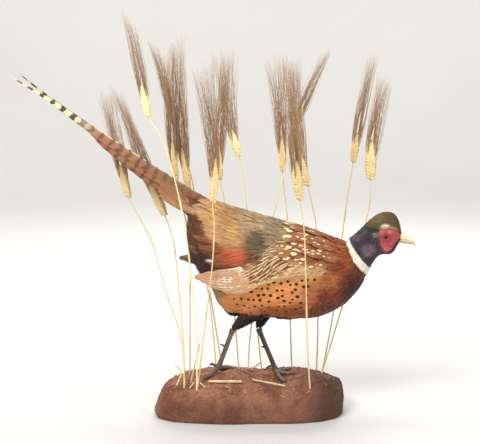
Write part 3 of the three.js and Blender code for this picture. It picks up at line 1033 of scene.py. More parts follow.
def tube(
    bm: BMesh,
    spine: Array,
    radius: Callable[[Array, Array], Array],
    rings: int,
    sides: int,
    up: Array | None = None,
    flat: float = 1.0,
) -> None:
    """Adds a closed tube along a spine to a bmesh.

    Args:
        bm: The mesh to add to.
        spine: Points of the centre line, evenly spread.
        radius: Gives the radius from the share along and the angle from up.
        rings: How many rings of faces.
        sides: How many faces around.
        up: The direction of angle zero.
        flat: Sideways width as a share of the height.
    """
    verts = column(bm, sides, rings)
    local = spots(verts)
    share = local[:, 2] + 0.5
    angle = np.arctan2(local[:, 0], local[:, 1])
    tangents = unit(np.gradient(spine, axis=0))
    place = share * (len(spine) - 1)
    first = np.clip(np.floor(place).astype(int), 0, len(spine) - 2)
    f = (place - first)[:, None]
    middle = spine[first] * (1 - f) + spine[first + 1] * f
    tangent = unit(tangents[first] * (1 - f) + tangents[first + 1] * f)
    if up is None:
        up = np.array([0, 1, 0.0]) if abs(tangents[0, 1]) < 0.7 else np.array([0, 0, 1.0])
    side = unit(np.cross(up[None], tangent))
    over = np.cross(tangent, side)
    reach = radius(share, angle)[:, None]
    turned = middle + (over * np.cos(angle)[:, None] + side * np.sin(angle)[:, None] * flat) * reach
    move(verts, turned)


# ---- Markings: which feathers grow where, how they lie and what colour they are ----


@dataclass(frozen=True)
class Tract:
    """A patch of skin on which one kind of feather grows.

    The outline is in the side view, as x and z. The lie is the angle below straight back, in
    degrees. The depth is how far the skin lies under the coat.
    """

    name: str
    outline: tuple[tuple[float, float], ...]
    tint: str
    lie: float
    depth: float


TRACTS = (
    Tract("crown", ((215, 363), (228, 354), (245, 353), (251, 358), (266, 361), (280, 355),
        (289, 347), (304, 352), (300, 400), (212, 400)), "6c5c38", 4, 1.2),
    Tract("brow", ((248, 355), (252, 360), (264, 360), (280, 354), (283, 350), (268, 353),
        (254, 353)), "b9a67c", 8, 0.8),
    Tract("ear", ((217, 362), (228, 355), (246, 353), (247, 347), (230, 345), (224, 352)),
        "202b26", 12, 1.1),
    Tract("ear_spot", ((236, 345), (244, 345), (245, 339), (237, 338)), "84756a", 25, 1.0),
    Tract("chin", ((273, 312), (280, 326), (286, 332), (302, 330), (296, 308), (280, 294),
        (264, 294), (263, 307)), "1f1f22", 30, 1.2),
    Tract("bare", ((247, 349), (254, 353), (268, 355), (282, 349), (288, 341), (287, 334),
        (279, 326), (272, 313), (263, 308), (255, 311), (249, 324), (247, 340)), "b8484c", 20, 0.2),
    Tract("neck", ((184, 356), (189, 338), (195, 323), (204, 308), (216, 293), (227, 281),
        (242, 268), (264, 294), (263, 307), (255, 311), (249, 324), (248, 338), (236, 338),
        (224, 350), (220, 368), (200, 346)), "453844", 45, 2.2),
    Tract("collar", ((173, 354), (180, 337), (190, 316), (194, 304), (200, 291), (211, 278),
        (222, 267), (230, 258), (244, 266), (227, 281), (216, 293), (204, 308), (195, 323),
        (189, 338), (184, 356)), "fdf8e4", 48, 2.6),
    Tract("nape", ((108, 380), (130, 345), (158, 322), (172, 300), (184, 284), (200, 291),
        (194, 304), (190, 316), (180, 337), (173, 354), (170, 368)), "9e5226", 12, 4.0),
    Tract("mantle", ((72, 420), (70, 338), (57, 318), (74, 302), (105, 290), (140, 287),
        (172, 300), (158, 322), (130, 345), (108, 380), (104, 420)), "a9683c", 2, 4.4),
    Tract("scapular", ((70, 338), (57, 318), (74, 302), (88, 292), (60, 276), (20, 258),
        (-10, 266), (16, 292), (39, 313), (58, 332)), "a26e42", 50, 4.6),
    Tract("covert", ((74, 303), (105, 291), (140, 288), (144, 279), (109, 266), (54, 263),
        (14, 254), (-10, 262), (26, 268), (62, 278), (88, 292)), "e2b07c", 16, 4.0),
    Tract("breast", ((134, 282), (150, 288), (172, 300), (184, 284), (200, 291), (211, 278),
        (222, 267), (230, 258), (240, 250), (215, 215), (190, 170), (112, 160), (108, 200),
        (128, 244)), "883e1a", 24, 4.4),
    Tract("flank", ((-16, 246), (20, 257), (54, 264), (109, 267), (144, 281), (128, 244),
        (108, 200), (104, 160), (-30, 160), (-48, 205), (-42, 236)), "ee9c58", 2, 4.6),
    Tract("vent", ((-16, 246), (-42, 236), (-48, 205), (-40, 160), (-90, 160), (-100, 250),
        (-70, 262)), "b98c5a", -12, 4.6),
    Tract("undertail", ((-70, 262), (-100, 250), (-140, 280), (-140, 392), (-98, 384),
        (-74, 340), (-70, 300)), "6a3c2a", -34, 4.2),
    Tract("plume", ((-72, 330), (-8, 330), (8, 314), (-2, 290), (-12, 262), (-70, 262),
        (-72, 300)), "805036", 14, 4.8),
    Tract("rump", ((-24, 430), (-18, 358), (-8, 330), (8, 314), (-2, 290), (16, 292), (39, 313),
        (58, 332), (70, 338), (72, 430)), "c2a27a", 2, 4.4),
    Tract("back", ((-24, 430), (-18, 358), (-8, 330), (-72, 330), (-92, 372), (-76, 396),
        (-70, 440)), "d4a46c", -14, 4.2),
    Tract("tail_covert", ((-70, 440), (-76, 396), (-92, 372), (-98, 384), (-140, 392),
        (-140, 440)), "c99868", -30, 4.2),
)
CRISP_TRACTS = 8
"""How many tracts, from the first, have a straight outline. That of the others is wavy."""
THIGH = Tract("thigh", (), "2a1f1a", 50, 2.6)
BELLY = Tract("belly", (), "35241c", 10, 4.0)
ALL_TRACTS = (*TRACTS, THIGH, BELLY)
TRACT_NAMES = [tract.name for tract in ALL_TRACTS] + ["tail_top"]
THIGH_AXES = (
    ((32, -30, 222), (2, -31, 190), (-29, -32, 163)),
    ((38, 30, 218), (31, 31, 182), (21, 32, 150)),
)


@dataclass(frozen=True)
class Wash:
    """A soft patch of colour over the tracts, as an ellipse in the side view."""

    x: float
    z: float
    reach_x: float
    reach_z: float
    tint: str
    strength: float
    on_bare: bool = False


WASHES = (
    Wash(13, 334, 27, 27, "67593e", 0.95),
    Wash(10, 304, 20, 13, "66382c", 0.85),
    Wash(52, 352, 34, 32, "a08f6e", 0.6),
    Wash(-33, 308, 33, 21, "c8623c", 0.95),
    Wash(-30, 326, 26, 12, "d09a62", 0.5),
    Wash(-96, 290, 34, 42, "3c251d", 0.85),
    Wash(-138, 444, 46, 46, "a97353", 0.95),
    Wash(-79, 332, 18, 20, "a8653f", 0.8),
    Wash(-14, 281, 30, 8, "cfa06a", 0.85),
    Wash(-73, 297, 7, 4.5, "fff2dc", 1.0),
    Wash(-96, 342, 8, 2.6, "cda488", 0.8),
    Wash(-105, 321, 8, 2.6, "d3ac92", 0.8),
    Wash(114, 236, 19, 34, "b87048", 0.9),
    Wash(98, 206, 36, 20, "9c5a38", 0.75),
    Wash(158, 212, 38, 28, "6a3020", 0.6),
    Wash(-96, 402, 26, 22, "cf9c7a", 0.6),
    Wash(208, 236, 42, 48, "3c140a", 0.94),
    Wash(160, 184, 64, 28, "4e241a", 0.9),
    Wash(60, 194, 96, 20, "94502f", 0.85),
    Wash(-28, 212, 26, 18, "cf8258", 0.6),
    Wash(146, 262, 30, 22, "b9743e", 0.6),
    Wash(110, 276, 30, 14, "b0906c", 0.4),
    # Painted highlights: the next three pale mauve patches stand for the sheen on the glossy neck.
    Wash(226, 312, 19, 14, "85707e", 0.7),
    Wash(204, 336, 10, 8, "7a6870", 0.6),
    Wash(217, 347, 8, 11, "62575a", 0.5),
    Wash(226, 334, 8, 10, "2e2733", 0.6),
    Wash(212, 306, 8, 16, "33293a", 0.5),
    Wash(240, 374, 22, 12, "8d8058", 0.6),
    Wash(258, 358, 9, 5, "f6e4c6", 0.95),
    Wash(260, 337, 12, 11, "8e2c34", 0.75, True),
    # Painted highlights: the next three pale salmon and pink patches on the wattle.
    Wash(252, 346, 6, 6, "e98a84", 0.85, True),
    Wash(268, 347, 6, 4, "f0a096", 0.8, True),
    Wash(264, 314, 7, 5, "e88482", 0.8, True),
    Wash(280, 346, 9, 6, "9c3038", 0.6, True),
)


class Markings:
    """Reads the tracts and washes at any place, for the skin and the coat alike."""

    plain_tracts: tuple[str, ...] = ("collar", "bare", "thigh", "belly", "ear_spot")

    def __init__(self) -> None:
        """Gathers the tracts' numbers."""
        self.tints = np.array([rgb(t.tint) for t in ALL_TRACTS])
        self.lies = np.array([t.lie for t in ALL_TRACTS], float)
        self.depths = np.array([t.depth for t in ALL_TRACTS])

    def distances(self, places: Array) -> Array:
        """How far each place lies outside each tract.

        Args:
            places: The places.

        Returns:
            One row of distances in millimetres for each tract: negative inside it.
        """
        x, y, z = (places / MM).T
        wave = np.stack([np.sin(z * 0.31 + y * 0.2), np.sin(x * 0.27 + y * 0.17)]) * 1.4
        rows = []
        for number, tract in enumerate(TRACTS):
            sway_x, sway_z = wave * (number >= CRISP_TRACTS)
            rows.append(outline_distance(tract.outline, x + sway_x, z + sway_z))
        axis = np.full(len(x), np.inf)
        point = np.stack([x, y, z], 1)
        for joints in THIGH_AXES:
            for start, end in zip(joints, joints[1:]):
                a, d = np.array(start, float), np.subtract(end, start).astype(float)
                share = np.clip(((point - a) @ d) / (d @ d), 0, 1)
                axis = np.minimum(axis, np.linalg.norm(point - a - share[:, None] * d, axis=1))
        rows.append(np.maximum(axis - 27, z - 194))
        rows.append(np.max([np.abs(y) - 34, z - 197, -(x + 46), x - 84], axis=0))
        rows = np.array(rows)
        rows[-2] = np.where(rows[-2] < 0, rows[-2] - 40, rows[-2])
        rows[-1] = np.where(rows[-1] < 0, rows[-1] - 20, rows[-1])
        return rows

    def kinds(self, places: Array) -> Array:
        """The number of the tract at each place."""
        return self.distances(places).argmin(0)

    def blended(self, places: Array, values: Array, softness: float) -> Array:
        """Values of the tracts, blended softly across their borders.

        Args:
            places: Where they are read.
            values: A number or a row of numbers for each tract.
            softness: How wide a border is, in millimetres.

        Returns:
            A value for each place.
        """
        rows = self.distances(places)
        rows[TRACT_NAMES.index("collar")] *= 6
        weights = np.exp(-(rows - rows.min(0)) / softness)
        return (weights / weights.sum(0)).T @ values

    def tint(self, places: Array, softness: float = 1.4) -> Array:
        """The colour of tracts and washes.

        Args:
            places: Where it is read.
            softness: How wide a tract's border is, in millimetres.

        Returns:
            A colour for each place.
        """
        colour = self.blended(places, self.tints, softness)
        x, _, z = (places / MM).T
        kinds = self.kinds(places)
        kept = np.isin(kinds, [TRACT_NAMES.index(name) for name in self.plain_tracts])
        colour[kept] = self.tints[kinds[kept]]
        bare = kinds == TRACT_NAMES.index("bare")
        for wash in WASHES:
            reach = np.hypot((x - wash.x) / wash.reach_x, (z - wash.z) / wash.reach_z)
            share = wash.strength * (1 - ease(reach, 0.45, 1.15))
            share = (share * np.where(wash.on_bare, bare, ~kept))[:, None]
            colour = colour * (1 - share) + rgb(wash.tint) * share
        return colour

    def lie(self, places: Array, normals: Array) -> Array:
        """The direction in which feathers lie.

        Args:
            places: Places on the skin.
            normals: Its normals there.

        Returns:
            A direction along the skin for each place.
        """
        angle = np.radians(self.blended(places, self.lies, 7.0))
        x, y, z = (places / MM).T
        under = ease(-normals[:, 2], 0.2, 0.8) * (x < 190) * (z < 260)
        angle = angle * (1 - under * 0.8)
        onto_tail = ease(-x, 78, 112) * ease(z - 0.3 * np.abs(y), 372, 392)
        angle = angle * (1 - onto_tail) - np.radians(34) * onto_tail
        sink = ease(np.abs(y), 4, 30) * (z > 290) * (x < 170) * (x > -80)
        angle = angle + np.radians(12) * (sink - 1) * (x > -80) * (x < 170)
        ahead = np.stack([-np.cos(angle), np.zeros(len(angle)), -np.sin(angle)], 1)
        return unit(ahead - normals * (ahead * normals).sum(1, keepdims=True))


# ---- The skin ----

EYE_PLACE = (260.0, 15.6, 337.0)
EYE_RADIUS = 5.0


def eye_place(side: int) -> tuple[float, float, float]:
    """The middle of an eye in metres: -1 is the right side and 1 the left."""
    x, y, z = (n * MM for n in EYE_PLACE)
    return x, y * side, z


def gaze(side: int) -> tuple[float, float, float]:
    """The way that the eye on a side looks."""
    return 0.12, float(side), 0.05


BODY_AXIS = ((-112, 392), (-60, 320), (40, 280), (128, 265), (185, 285), (226, 305), (256, 336),
    (295, 340))


@dataclass
class Skin:
    """One skin over trunk, neck, head, thighs and shoulders, under the coat."""

    markings: Markings
    voxel: float = 2.8
    face_from: float = 238.0
    wing_to: float = -10.0
    swell: float = 0.5
    lid_opening: float = 46.0
    wattle_swell: float = 1.5
    papilla: float = 1.5
    nodes: tuple[str, ...] = (
        "trunk", "neck", "head", "thigh_right", "thigh_left", "wing_right", "wing_left")

    def build(self) -> bpy.types.Object:
        """Makes the skin's object.

        Returns:
            The object.
        """
        bm = evened(self._flesh(), self.voxel, 7)
        face = [e for e in bm.edges if all(v.co.x > self.face_from * MM for v in e.verts)]
        bmesh.ops.subdivide_edges(bm, edges=face, cuts=3, use_grid_fill=True)
        relax(bm, [v for v in bm.verts if v.co.x > (self.face_from - 4) * MM], 8)
        places, normals = faced(bm)
        depth = self.markings.blended(places, self.markings.depths, 3.0)
        places = places - normals * depth[:, None] * MM
        bare = self._bare(places)
        places, lid = self._lids(self._wattles(places, normals, bare))
        move(bm.verts, places)
        piece = from_bmesh("skin", bm, self._material())
        keep(piece.data, tint=self.markings.tint(places), bare=bare, lid=lid)
        register(piece, "body_plumage", *self.nodes)
        return piece

    def _flesh(self) -> BMesh:
        """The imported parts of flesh, a little swollen, and both eyes.

        Returns:
            All of them in one bmesh.
        """
        whole = bmesh.new()
        for name in self.nodes:
            part = node_bmesh(name)
            if name.startswith("wing"):
                bmesh.ops.bisect_plane(
                    part,
                    geom=[*part.verts, *part.edges, *part.faces],
                    plane_co=(self.wing_to * MM, 0, 0),
                    plane_no=(1, 0, 0),
                    clear_inner=True,
                )
                bmesh.ops.holes_fill(part, edges=[e for e in part.edges if e.is_boundary])
            part.normal_update()
            for vertex in part.verts:
                vertex.co += vertex.normal * self.swell * MM
            mesh = bpy.data.meshes.new(name)
            part.to_mesh(mesh)
            part.free()
            whole.from_mesh(mesh)
            bpy.data.meshes.remove(mesh)
        for side in (-1, 1):
            bmesh.ops.create_icosphere(
                whole,
                subdivisions=3,
                radius=(EYE_RADIUS + 0.4) * MM,
                matrix=Matrix.Translation(eye_place(side)),
            )
        return whole

    @staticmethod
    def _inside(places: Array) -> Array:
        """How far places lie inside the outline of the bare face, in millimetres."""
        x, _, z = (places / MM).T
        return -outline_distance(TRACTS[TRACT_NAMES.index("bare")].outline, x, z)

    def _bare(self, places: Array) -> Array:
        """How bare the skin is at each place: 1 on the red face."""
        off_middle = ease(np.abs(places[:, 1] / MM), 4, 8)
        return ease(self._inside(places), -0.6, 0.9) * off_middle

    def _wattles(self, places: Array, normals: Array, bare: Array) -> Array:
        """Swells the bare face, with a thick edge, fleshy grains and a hanging lobe.

        Args:
            places: The skin's vertices.
            normals: Its normals there.
            bare: How bare it is there.

        Returns:
            The moved vertices.
        """
        x, _, z = (places / MM).T
        inside = self._inside(places)
        swell = self.wattle_swell * ease(inside, -0.3, 2.4)
        rim = 0.45 * hump((inside, 1.4, 1.0))
        lobe = 2.0 * hump((x, 262, 8), (z, 316, 8))
        lobe += 0.8 * hump((x, 272, 7), (z, 344, 6))
        lobe -= 0.9 * hump((z - 327.5 - 0.3 * (x - 262), 0, 2.4)) * ease(x, 256, 268)
        lobe -= 0.6 * hump((x - 251.5 - 0.3 * (340 - z), 0, 1.6)) * ease(z, 322, 330)
        grain = np.zeros(len(x))
        for i in np.flatnonzero(bare > 0.01):
            near = noise.voronoi(Vector(places[i]) / (self.papilla * MM))[0][0]
            grain[i] = max(0.0, 1 - (near / 0.62) ** 2)
        height = (swell + rim + lobe + 0.42 * grain) * bare
        return places + normals * (height * MM)[:, None]

    def _lids(self, places: Array) -> tuple[Array, Array]:
        """Opens the skin round each eye and raises a ring of lid.

        Args:
            places: The skin's vertices.

        Returns:
            The moved vertices, and how much each belongs to a lid.
        """
        moved, lid = places.copy(), np.zeros(len(places))
        for side in (-1, 1):
            middle, out = np.array(eye_place(side)), unit(np.array(gaze(side)))
            arm = moved - middle
            reach = np.linalg.norm(arm, axis=1)
            angle = np.degrees(np.arccos(np.clip((arm @ out) / np.maximum(reach, 1e-9), -1, 1)))
            off_axis = np.linalg.norm(arm - (arm @ out)[:, None] * out, axis=1) / MM
            near = (angle < 88) & (off_axis < 9) & (reach < 12 * MM)
            opened = near & (angle < self.lid_opening)
            edge = hump((angle - self.lid_opening, 7, 7))
            lidded = np.maximum(reach, (EYE_RADIUS + 0.25 + 0.55 * edge) * MM)
            lidded = np.where(
                near, lidded * (1 - ease(off_axis, 6, 9)) + reach * ease(off_axis, 6, 9), reach
            )
            target = np.where(opened, (EYE_RADIUS - 1.0) * MM, lidded)
            moved = middle + arm * (target / np.maximum(reach, 1e-9))[:, None]
            lid = np.maximum(lid, edge * near * (angle > self.lid_opening - 6))
        return moved, lid

    @staticmethod
    def _material() -> bpy.types.Material:
        """Down-coloured skin, with the red grained face.

        Returns:
            The material.
        """
        sheet = Sheet("skin")
        here = sheet.places()
        tint = sheet.attribute("tint", "Color")
        bare = sheet.attribute("bare")
        lid = sheet.attribute("lid")
        down = sheet.noise(here, 260, 4)
        feathered = sheet.mix(down.fall(0.35, 0.7) * 0.5, tint, (0.05, 0.035, 0.025, 1))
        grains = sheet.cells(here, 640)
        blotch = sheet.noise(here, 90, 3)
        flesh = sheet.mix(blotch.rise(0.35, 0.68), paint("a52e34"), paint("e07472"))
        flesh = sheet.mix(0.55, flesh, tint)
        flesh = sheet.mix(grains.rise(0.25, 0.75) * 0.55, flesh, paint("6e1a20"))
        flesh = sheet.mix(lid * 0.45, flesh, paint("5a1c1e"))
        height = sheet.mix(bare, down, 1 - grains)
        return sheet.finish(
            Base_Color=sheet.mix(bare, feathered, flesh),
            Roughness=0.85 - bare * 0.4,
            Normal=sheet.bump(height, 0.5, 0.35 * MM),
            Subsurface_Weight=0.08,
            Subsurface_Scale=0.002,
        )


TAIL_UP = (0.57, 0.0, 0.82)
TAIL_BACK = (-0.84, 0.0, 0.54)
TAIL_TOP = (-128.0, -86.0)
"""Between which x, in millimetres, feathers are rooted on the tail's own top."""
FOLD_TOP = 393.0
"""Height in millimetres of the top of the fold between rump and tail."""
MAP_MARGIN = 0.01
"""Room left at the edges of a bake map."""


class Hide:
    """Answers questions about the finished skin: nearest places, and roots for feathers."""

    def __init__(self, piece: bpy.types.Object, markings: Markings, pool: int = 130000) -> None:
        """Builds the search tree and scatters a pool of places over the skin.

        Args:
            piece: The skin.
            markings: The tracts.
            pool: How many places to scatter.
        """
        self.markings = markings
        corners, triangles = self._triangles(piece.data)
        body = len(triangles)
        tail_corners, tail_triangles = self._triangles(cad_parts["tail"].data)
        triangles = np.vstack([triangles, tail_triangles + len(corners)])
        corners = np.vstack([corners, tail_corners])
        self.tree = BVHTree.FromPolygons(corners.tolist(), triangles.tolist())
        a, b, c = (corners[triangles[:, i]] for i in range(3))
        cross = np.cross(b - a, c - a)
        area = np.linalg.norm(cross, axis=1) / 2
        rng = Draws.HIDE.rng()
        pick = rng.choice(len(area), pool, p=area / area.sum())
        u, v = rng.random((2, pool))
        over = u + v > 1
        u, v = np.where(over, 1 - u, u)[:, None], np.where(over, 1 - v, v)[:, None]
        self.places = a[pick] + (b - a)[pick] * u + (c - a)[pick] * v
        self.normals = unit(cross[pick])
        self.kinds = markings.kinds(self._seen(self.places, self.normals))
        self._sort_tail(pick >= body)

    def _sort_tail(self, on_tail: Array) -> None:
        """Keeps roots off the tail, but for the top of its root, and out of the fold before it.

        Args:
            on_tail: Which places of the pool are on the tail.
        """
        x, _, z = (self.places / MM).T
        low, high = TAIL_TOP
        topside = (x > low) & (x < high) & (self.normals @ np.array(TAIL_UP) > -0.1)
        tail_top = np.where(topside, TRACT_NAMES.index("tail_top"), -1)
        self.kinds = np.where(on_tail, tail_top, self.kinds)
        cramped = self.kinds == TRACT_NAMES.index("tail_covert")
        cramped &= self.normals @ np.array(TAIL_BACK) > np.where(z > FOLD_TOP, 0.1, 0.45)
        self.kinds[cramped] = -1

    def _seen(self, roots: Array, normals: Array) -> Array:
        """About where feathers show past their neighbours.

        Args:
            roots: Their roots.
            normals: The skin's normals there.

        Returns:
            A place for each.
        """
        x, _, z = (roots / MM).T
        step = 3 + 17 * ease(-x, -195, -150) * ease(z, 190, 215)
        return roots + self.markings.lie(roots, normals) * (step * MM)[:, None]

    @staticmethod
    def _triangles(mesh: bpy.types.Mesh) -> tuple[Array, Array]:
        """A mesh's corners, and the numbers of its triangles' corners."""
        mesh.calc_loop_triangles()
        return spots(mesh.vertices), np.array([t.vertices for t in mesh.loop_triangles])

    def nearest(self, places: Array) -> tuple[Array, Array]:
        """The skin's nearest place to each place, and its outward normal."""
        found = [self.tree.find_nearest(Vector(p)) for p in places]
        return np.array([f[0] for f in found]), np.array([f[1] for f in found])

    def roots(self, tracts: Sequence[str], spacing: float) -> tuple[Array, Array]:
        """Evenly scattered roots on some tracts.

        Args:
            tracts: Names of the tracts.
            spacing: The least distance between roots, in millimetres.

        Returns:
            Places and normals of the roots.
        """
        wanted = [TRACT_NAMES.index(name) for name in tracts]
        own = np.flatnonzero(np.isin(self.kinds, wanted))
        points = self.places[own]
        cells = np.floor(points / (spacing * MM)).astype(int)
        taken: dict[tuple[int, int, int], list[int]] = {}
        chosen: list[int] = []
        least = (spacing * MM) ** 2
        around = [(i, j, k) for i in (-1, 0, 1) for j in (-1, 0, 1) for k in (-1, 0, 1)]
        rows = points.tolist()
        for i, (cx, cy, cz) in enumerate(cells.tolist()):
            x, y, z = rows[i]
            if any(
                (x - rows[j][0]) ** 2 + (y - rows[j][1]) ** 2 + (z - rows[j][2]) ** 2 < least
                for dx, dy, dz in around
                for j in taken.get((cx + dx, cy + dy, cz + dz), ())
            ):
                continue
            taken.setdefault((cx, cy, cz), []).append(i)
            chosen.append(i)
        kept = np.array(chosen, int)
        for _ in range(2):
            kept = self._centred(points, kept)
        return points[kept], self.normals[own][kept]

    @staticmethod
    def _centred(points: Array, kept: Array) -> Array:
        """Moves each root to the middle of its surroundings.

        Args:
            points: The pool's places.
            kept: Numbers of those that are roots.

        Returns:
            Numbers of the places nearest the middles.
        """
        tree = KDTree(len(kept))
        for i, index in enumerate(kept):
            tree.insert(points[index], i)
        tree.balance()
        owner = np.array([tree.find(p)[1] for p in points])
        sums = np.stack([np.bincount(owner, points[:, i], len(kept)) for i in range(3)], 1)
        middles = sums / np.maximum(np.bincount(owner, minlength=len(kept)), 1)[:, None]
        away = np.linalg.norm(points - middles[owner], axis=1)
        order = np.lexsort((away, owner))
        first = np.unique(owner[order], return_index=True)[1]
        return order[first]

    def paths(
        self,
        roots: Array,
        normals: Array,
        length: Array,
        half_width: Array,
        heights: tuple[float, float],
        yaw: Array,
        hug: float = 0.85,
        stations: int = 6,
    ) -> Paths:
        """Centre lines that follow the skin from each root.

        Args:
            roots: Where they start.
            normals: The skin's normals there.
            length: Lengths in metres.
            half_width: Half widths in metres.
            heights: Height over the skin at root and tip, in metres.
            yaw: Turn of each away from the lie, in radians.
            hug: How closely they follow hollows, from 0 to 1.
            stations: How many steps.

        Returns:
            The paths.
        """
        place, normal = roots, normals
        ahead = self.markings.lie(place, normal)
        ahead = ahead * np.cos(yaw)[:, None] + np.cross(normal, ahead) * np.sin(yaw)[:, None]
        centre, up = [place + normal * heights[0]], [normal]
        step = (length / stations)[:, None]
        for i in range(1, stations + 1):
            reached = place + ahead * step
            below, facing = self.nearest(reached)
            gap = ((reached - below) * facing).sum(1, keepdims=True)
            reached = np.where(gap < 0, below, below + facing * gap * (1 - hug))
            normal = unit(normal * 0.3 + facing * 0.7)
            onward = unit(reached - place) * 0.6 + self.markings.lie(reached, normal) * 0.4
            ahead = unit(onward - normal * (onward * normal).sum(1, keepdims=True))
            place = reached
            height = heights[0] + (heights[1] - heights[0]) * (i / stations) ** 0.8
            centre.append(place + normal * height)
            up.append(normal)
        return Paths(np.stack(centre, 1), np.stack(up, 1), half_width)


def unwrapped(places: Array, patch: float) -> Array:
    """Where places lie on an unwrap of the body: along its axis and around it.

    Args:
        places: Places on the skin.
        patch: Room to leave at the far edges.

    Returns:
        Places on the map, spread over all of it.
    """
    x, y, z = (places / MM).T
    axis = np.interp(x, [a[0] for a in BODY_AXIS], [a[1] for a in BODY_AXIS])
    flat = np.stack([x, np.arctan2(y, z - axis)], 1)
    low, high = flat.min(0), flat.max(0)
    return MAP_MARGIN + (flat - low) / (high - low) * (1 - 2 * MAP_MARGIN - patch)


# ---- The coat ----


def even_mark(places: Array, rng: np.random.Generator) -> Array:
    """A mark of about 1 on every vane."""
    return rng.uniform(0.8, 1.05, len(places))


def pearl_mark(places: Array, rng: np.random.Generator) -> Array:
    """Big drops on the back, smaller ones towards the neck and none at the front.

    Args:
        places: Where the vanes' tips are.
        rng: Random numbers.

    Returns:
        The size of each vane's drop.
    """
    x, _, z = (places / MM).T
    size = 1.15 - 0.7 * ease(x + (z - 320) * 0.35, 100, 165)
    size = size * ease(-x - (z - 320) * 0.3, -178, -160)
    size = np.where(rng.random(len(places)) < 0.1, 0.0, size)
    return size * rng.uniform(0.65, 1.2, len(places))


def drop_mark(places: Array, rng: np.random.Generator) -> Array:
    """Round spots on the flank that fade towards the belly.

    Args:
        places: Where the vanes' tips are.
        rng: Random numbers.

    Returns:
        The size of each vane's spot.
    """
    x, _, z = (places / MM).T
    size = (1.2 - 0.5 * ease(-z, -222, -200)) * ease(x, -40, -14)
    return size * rng.uniform(0.7, 1.1, len(places))


def breast_mark(places: Array, rng: np.random.Generator) -> Array:
    """Small spots on some feathers, smaller towards the front and the neck.

    Args:
        places: Where the vanes' tips are.
        rng: Random numbers.

    Returns:
        The size of each vane's spot.
    """
    x, _, z = (places / MM).T
    size = 1.7 - 1.3 * ease(x - (z - 240) * 0.3, 120, 185)
    often = 0.42 + 0.1 * ease(x, 150, 200)
    return np.where(rng.random(len(places)) < often, size * rng.uniform(0.6, 1.0, len(places)), 0)


def tipped_mark(places: Array, rng: np.random.Generator) -> Array:
    """A mark on about one vane in three."""
    return np.where(rng.random(len(places)) < 0.35, rng.uniform(0.5, 1.0, len(places)), 0)


def faint_mark(places: Array, rng: np.random.Generator) -> Array:
    """A mark of up to a half."""
    return rng.uniform(0.0, 0.5, len(places))


STRAIGHTNESS = 0.9
"""The least reach of a feather, as a share of its length; one that crumples is left out."""
PLAIN_PATCH = 0.003
"""The size on the bake map of a vane that has one colour."""


@dataclass(frozen=True)
class Coat:
    """One kind of feather and where it grows. Sizes are in millimetres and degrees."""

    name: str
    slot: str
    tracts: tuple[str, ...]
    finish: Plumage
    shape: VaneShape | TuftShape
    spacing: float
    length: float
    half_width: float
    lift: float
    sink: float = -0.6
    roll: float = 7.0
    yaw: float = 5.0
    shade: float = 0.10
    marks: Callable[[Array, np.random.Generator], Array] = even_mark
    variants: int = 3
    hug: float = 0.85
    lengths: tuple[float, float] = (0.88, 1.1)
    widths: tuple[float, float] = (0.9, 1.1)
    uneven: float = 0.35

    def grow(self, hide: Hide, rng: np.random.Generator) -> None:
        """Lays the feathers on the skin and makes their object.

        Args:
            hide: The skin.
            rng: This coat's random numbers.
        """
        roots, normals = hide.roots(self.tracts, self.spacing)
        many = len(roots)
        length = self.length * MM * rng.uniform(*self.lengths, many)
        half = self.half_width * MM * rng.uniform(*self.widths, many)
        yaw = np.radians(rng.normal(0, self.yaw, many))
        heights = (self.sink * MM, self.lift * MM)
        paths = hide.paths(roots, normals, length, half, heights, yaw, self.hug)
        reach = np.linalg.norm(paths.centre[:, -1] - paths.centre[:, 0], axis=1)
        smooth = reach > STRAIGHTNESS * length
        LOG.info("%s: %d of %d left out as crumpled", self.name, many - smooth.sum(), many)
        roots, paths, many = roots[smooth], paths.some(smooth), int(smooth.sum())
        lifted = rng.uniform(-self.uneven, self.uneven, (many, 1, 1)) * MM
        rising = np.linspace(0, 1, paths.centre.shape[1])[None, :, None]
        paths.centre = paths.centre + paths.up * lifted * rising
        roll = -np.sign(roots[:, 1]) * np.radians(self.roll + rng.normal(0, 2, many))
        roll = roll * ease(np.abs(roots[:, 1]), 0.001, 0.012)
        paths = paths.rolled(roll)
        tips = paths.centre[:, -2]
        tint = hide.markings.tint(tips)
        shade = rng.normal(0, self.shade, (many, 1)) + rng.normal(0, self.shade * 0.3, (many, 3))
        marks = self.marks(tips, rng)
        patch = PLAIN_PATCH
        if self.finish.pattern is not Pattern.PLAIN:
            patch = self._patch(unwrapped(roots, PLAIN_PATCH))
        corner = unwrapped(roots, patch)
        heap = Heap(self.name)
        kind = rng.integers(0, self.variants, many)
        shaded = isinstance(self.shape, VaneShape) and self.slot != "head_plumage"
        for variant in range(self.variants):
            own = kind == variant
            blank, ways = self.shape.blank(rng), paths.some(own)
            if shaded:
                colour = self._seen_tint(hide.markings, blank, ways) * np.exp(shade[own])[:, None]
            else:
                colour = tint[own] * np.exp(shade[own])
            heap.lay(blank, ways, colour.clip(0, 1), marks[own], corner[own], (patch, patch))
        register(heap.piece(self.finish.dress()), self.slot)

    @staticmethod
    def _seen_tint(markings: Markings, blank: Blank, paths: Paths) -> Array:
        """The markings' colour; hidden roots take that of the part that shows.

        Args:
            markings: The tracts and washes.
            blank: The vane.
            paths: Where it is laid.

        Returns:
            A colour for each vertex of each vane.
        """
        places = paths.bent(blank)
        hidden = np.clip(0.5 - blank.map[:, 1], 0, None)[None, :, None]
        places = places + (paths.centre[:, -1] - paths.centre[:, 0])[:, None] * hidden
        return markings.tint(places.reshape(-1, 3), 2.6).reshape(places.shape)

    @staticmethod
    def _patch(flat: Array) -> float:
        """A patch as large as the gaps on the bake map leave room for.

        Args:
            flat: The vanes' places on the map.

        Returns:
            Its size.
        """
        tree = KDTree(len(flat))
        for i, (u, v) in enumerate(flat):
            tree.insert((u, v, 0), i)
        tree.balance()
        near = [tree.find_n((u, v, 0), 2)[1][2] for u, v in flat]
        return float(max(PLAIN_PATCH, 0.7 * np.percentile(near, 10)))


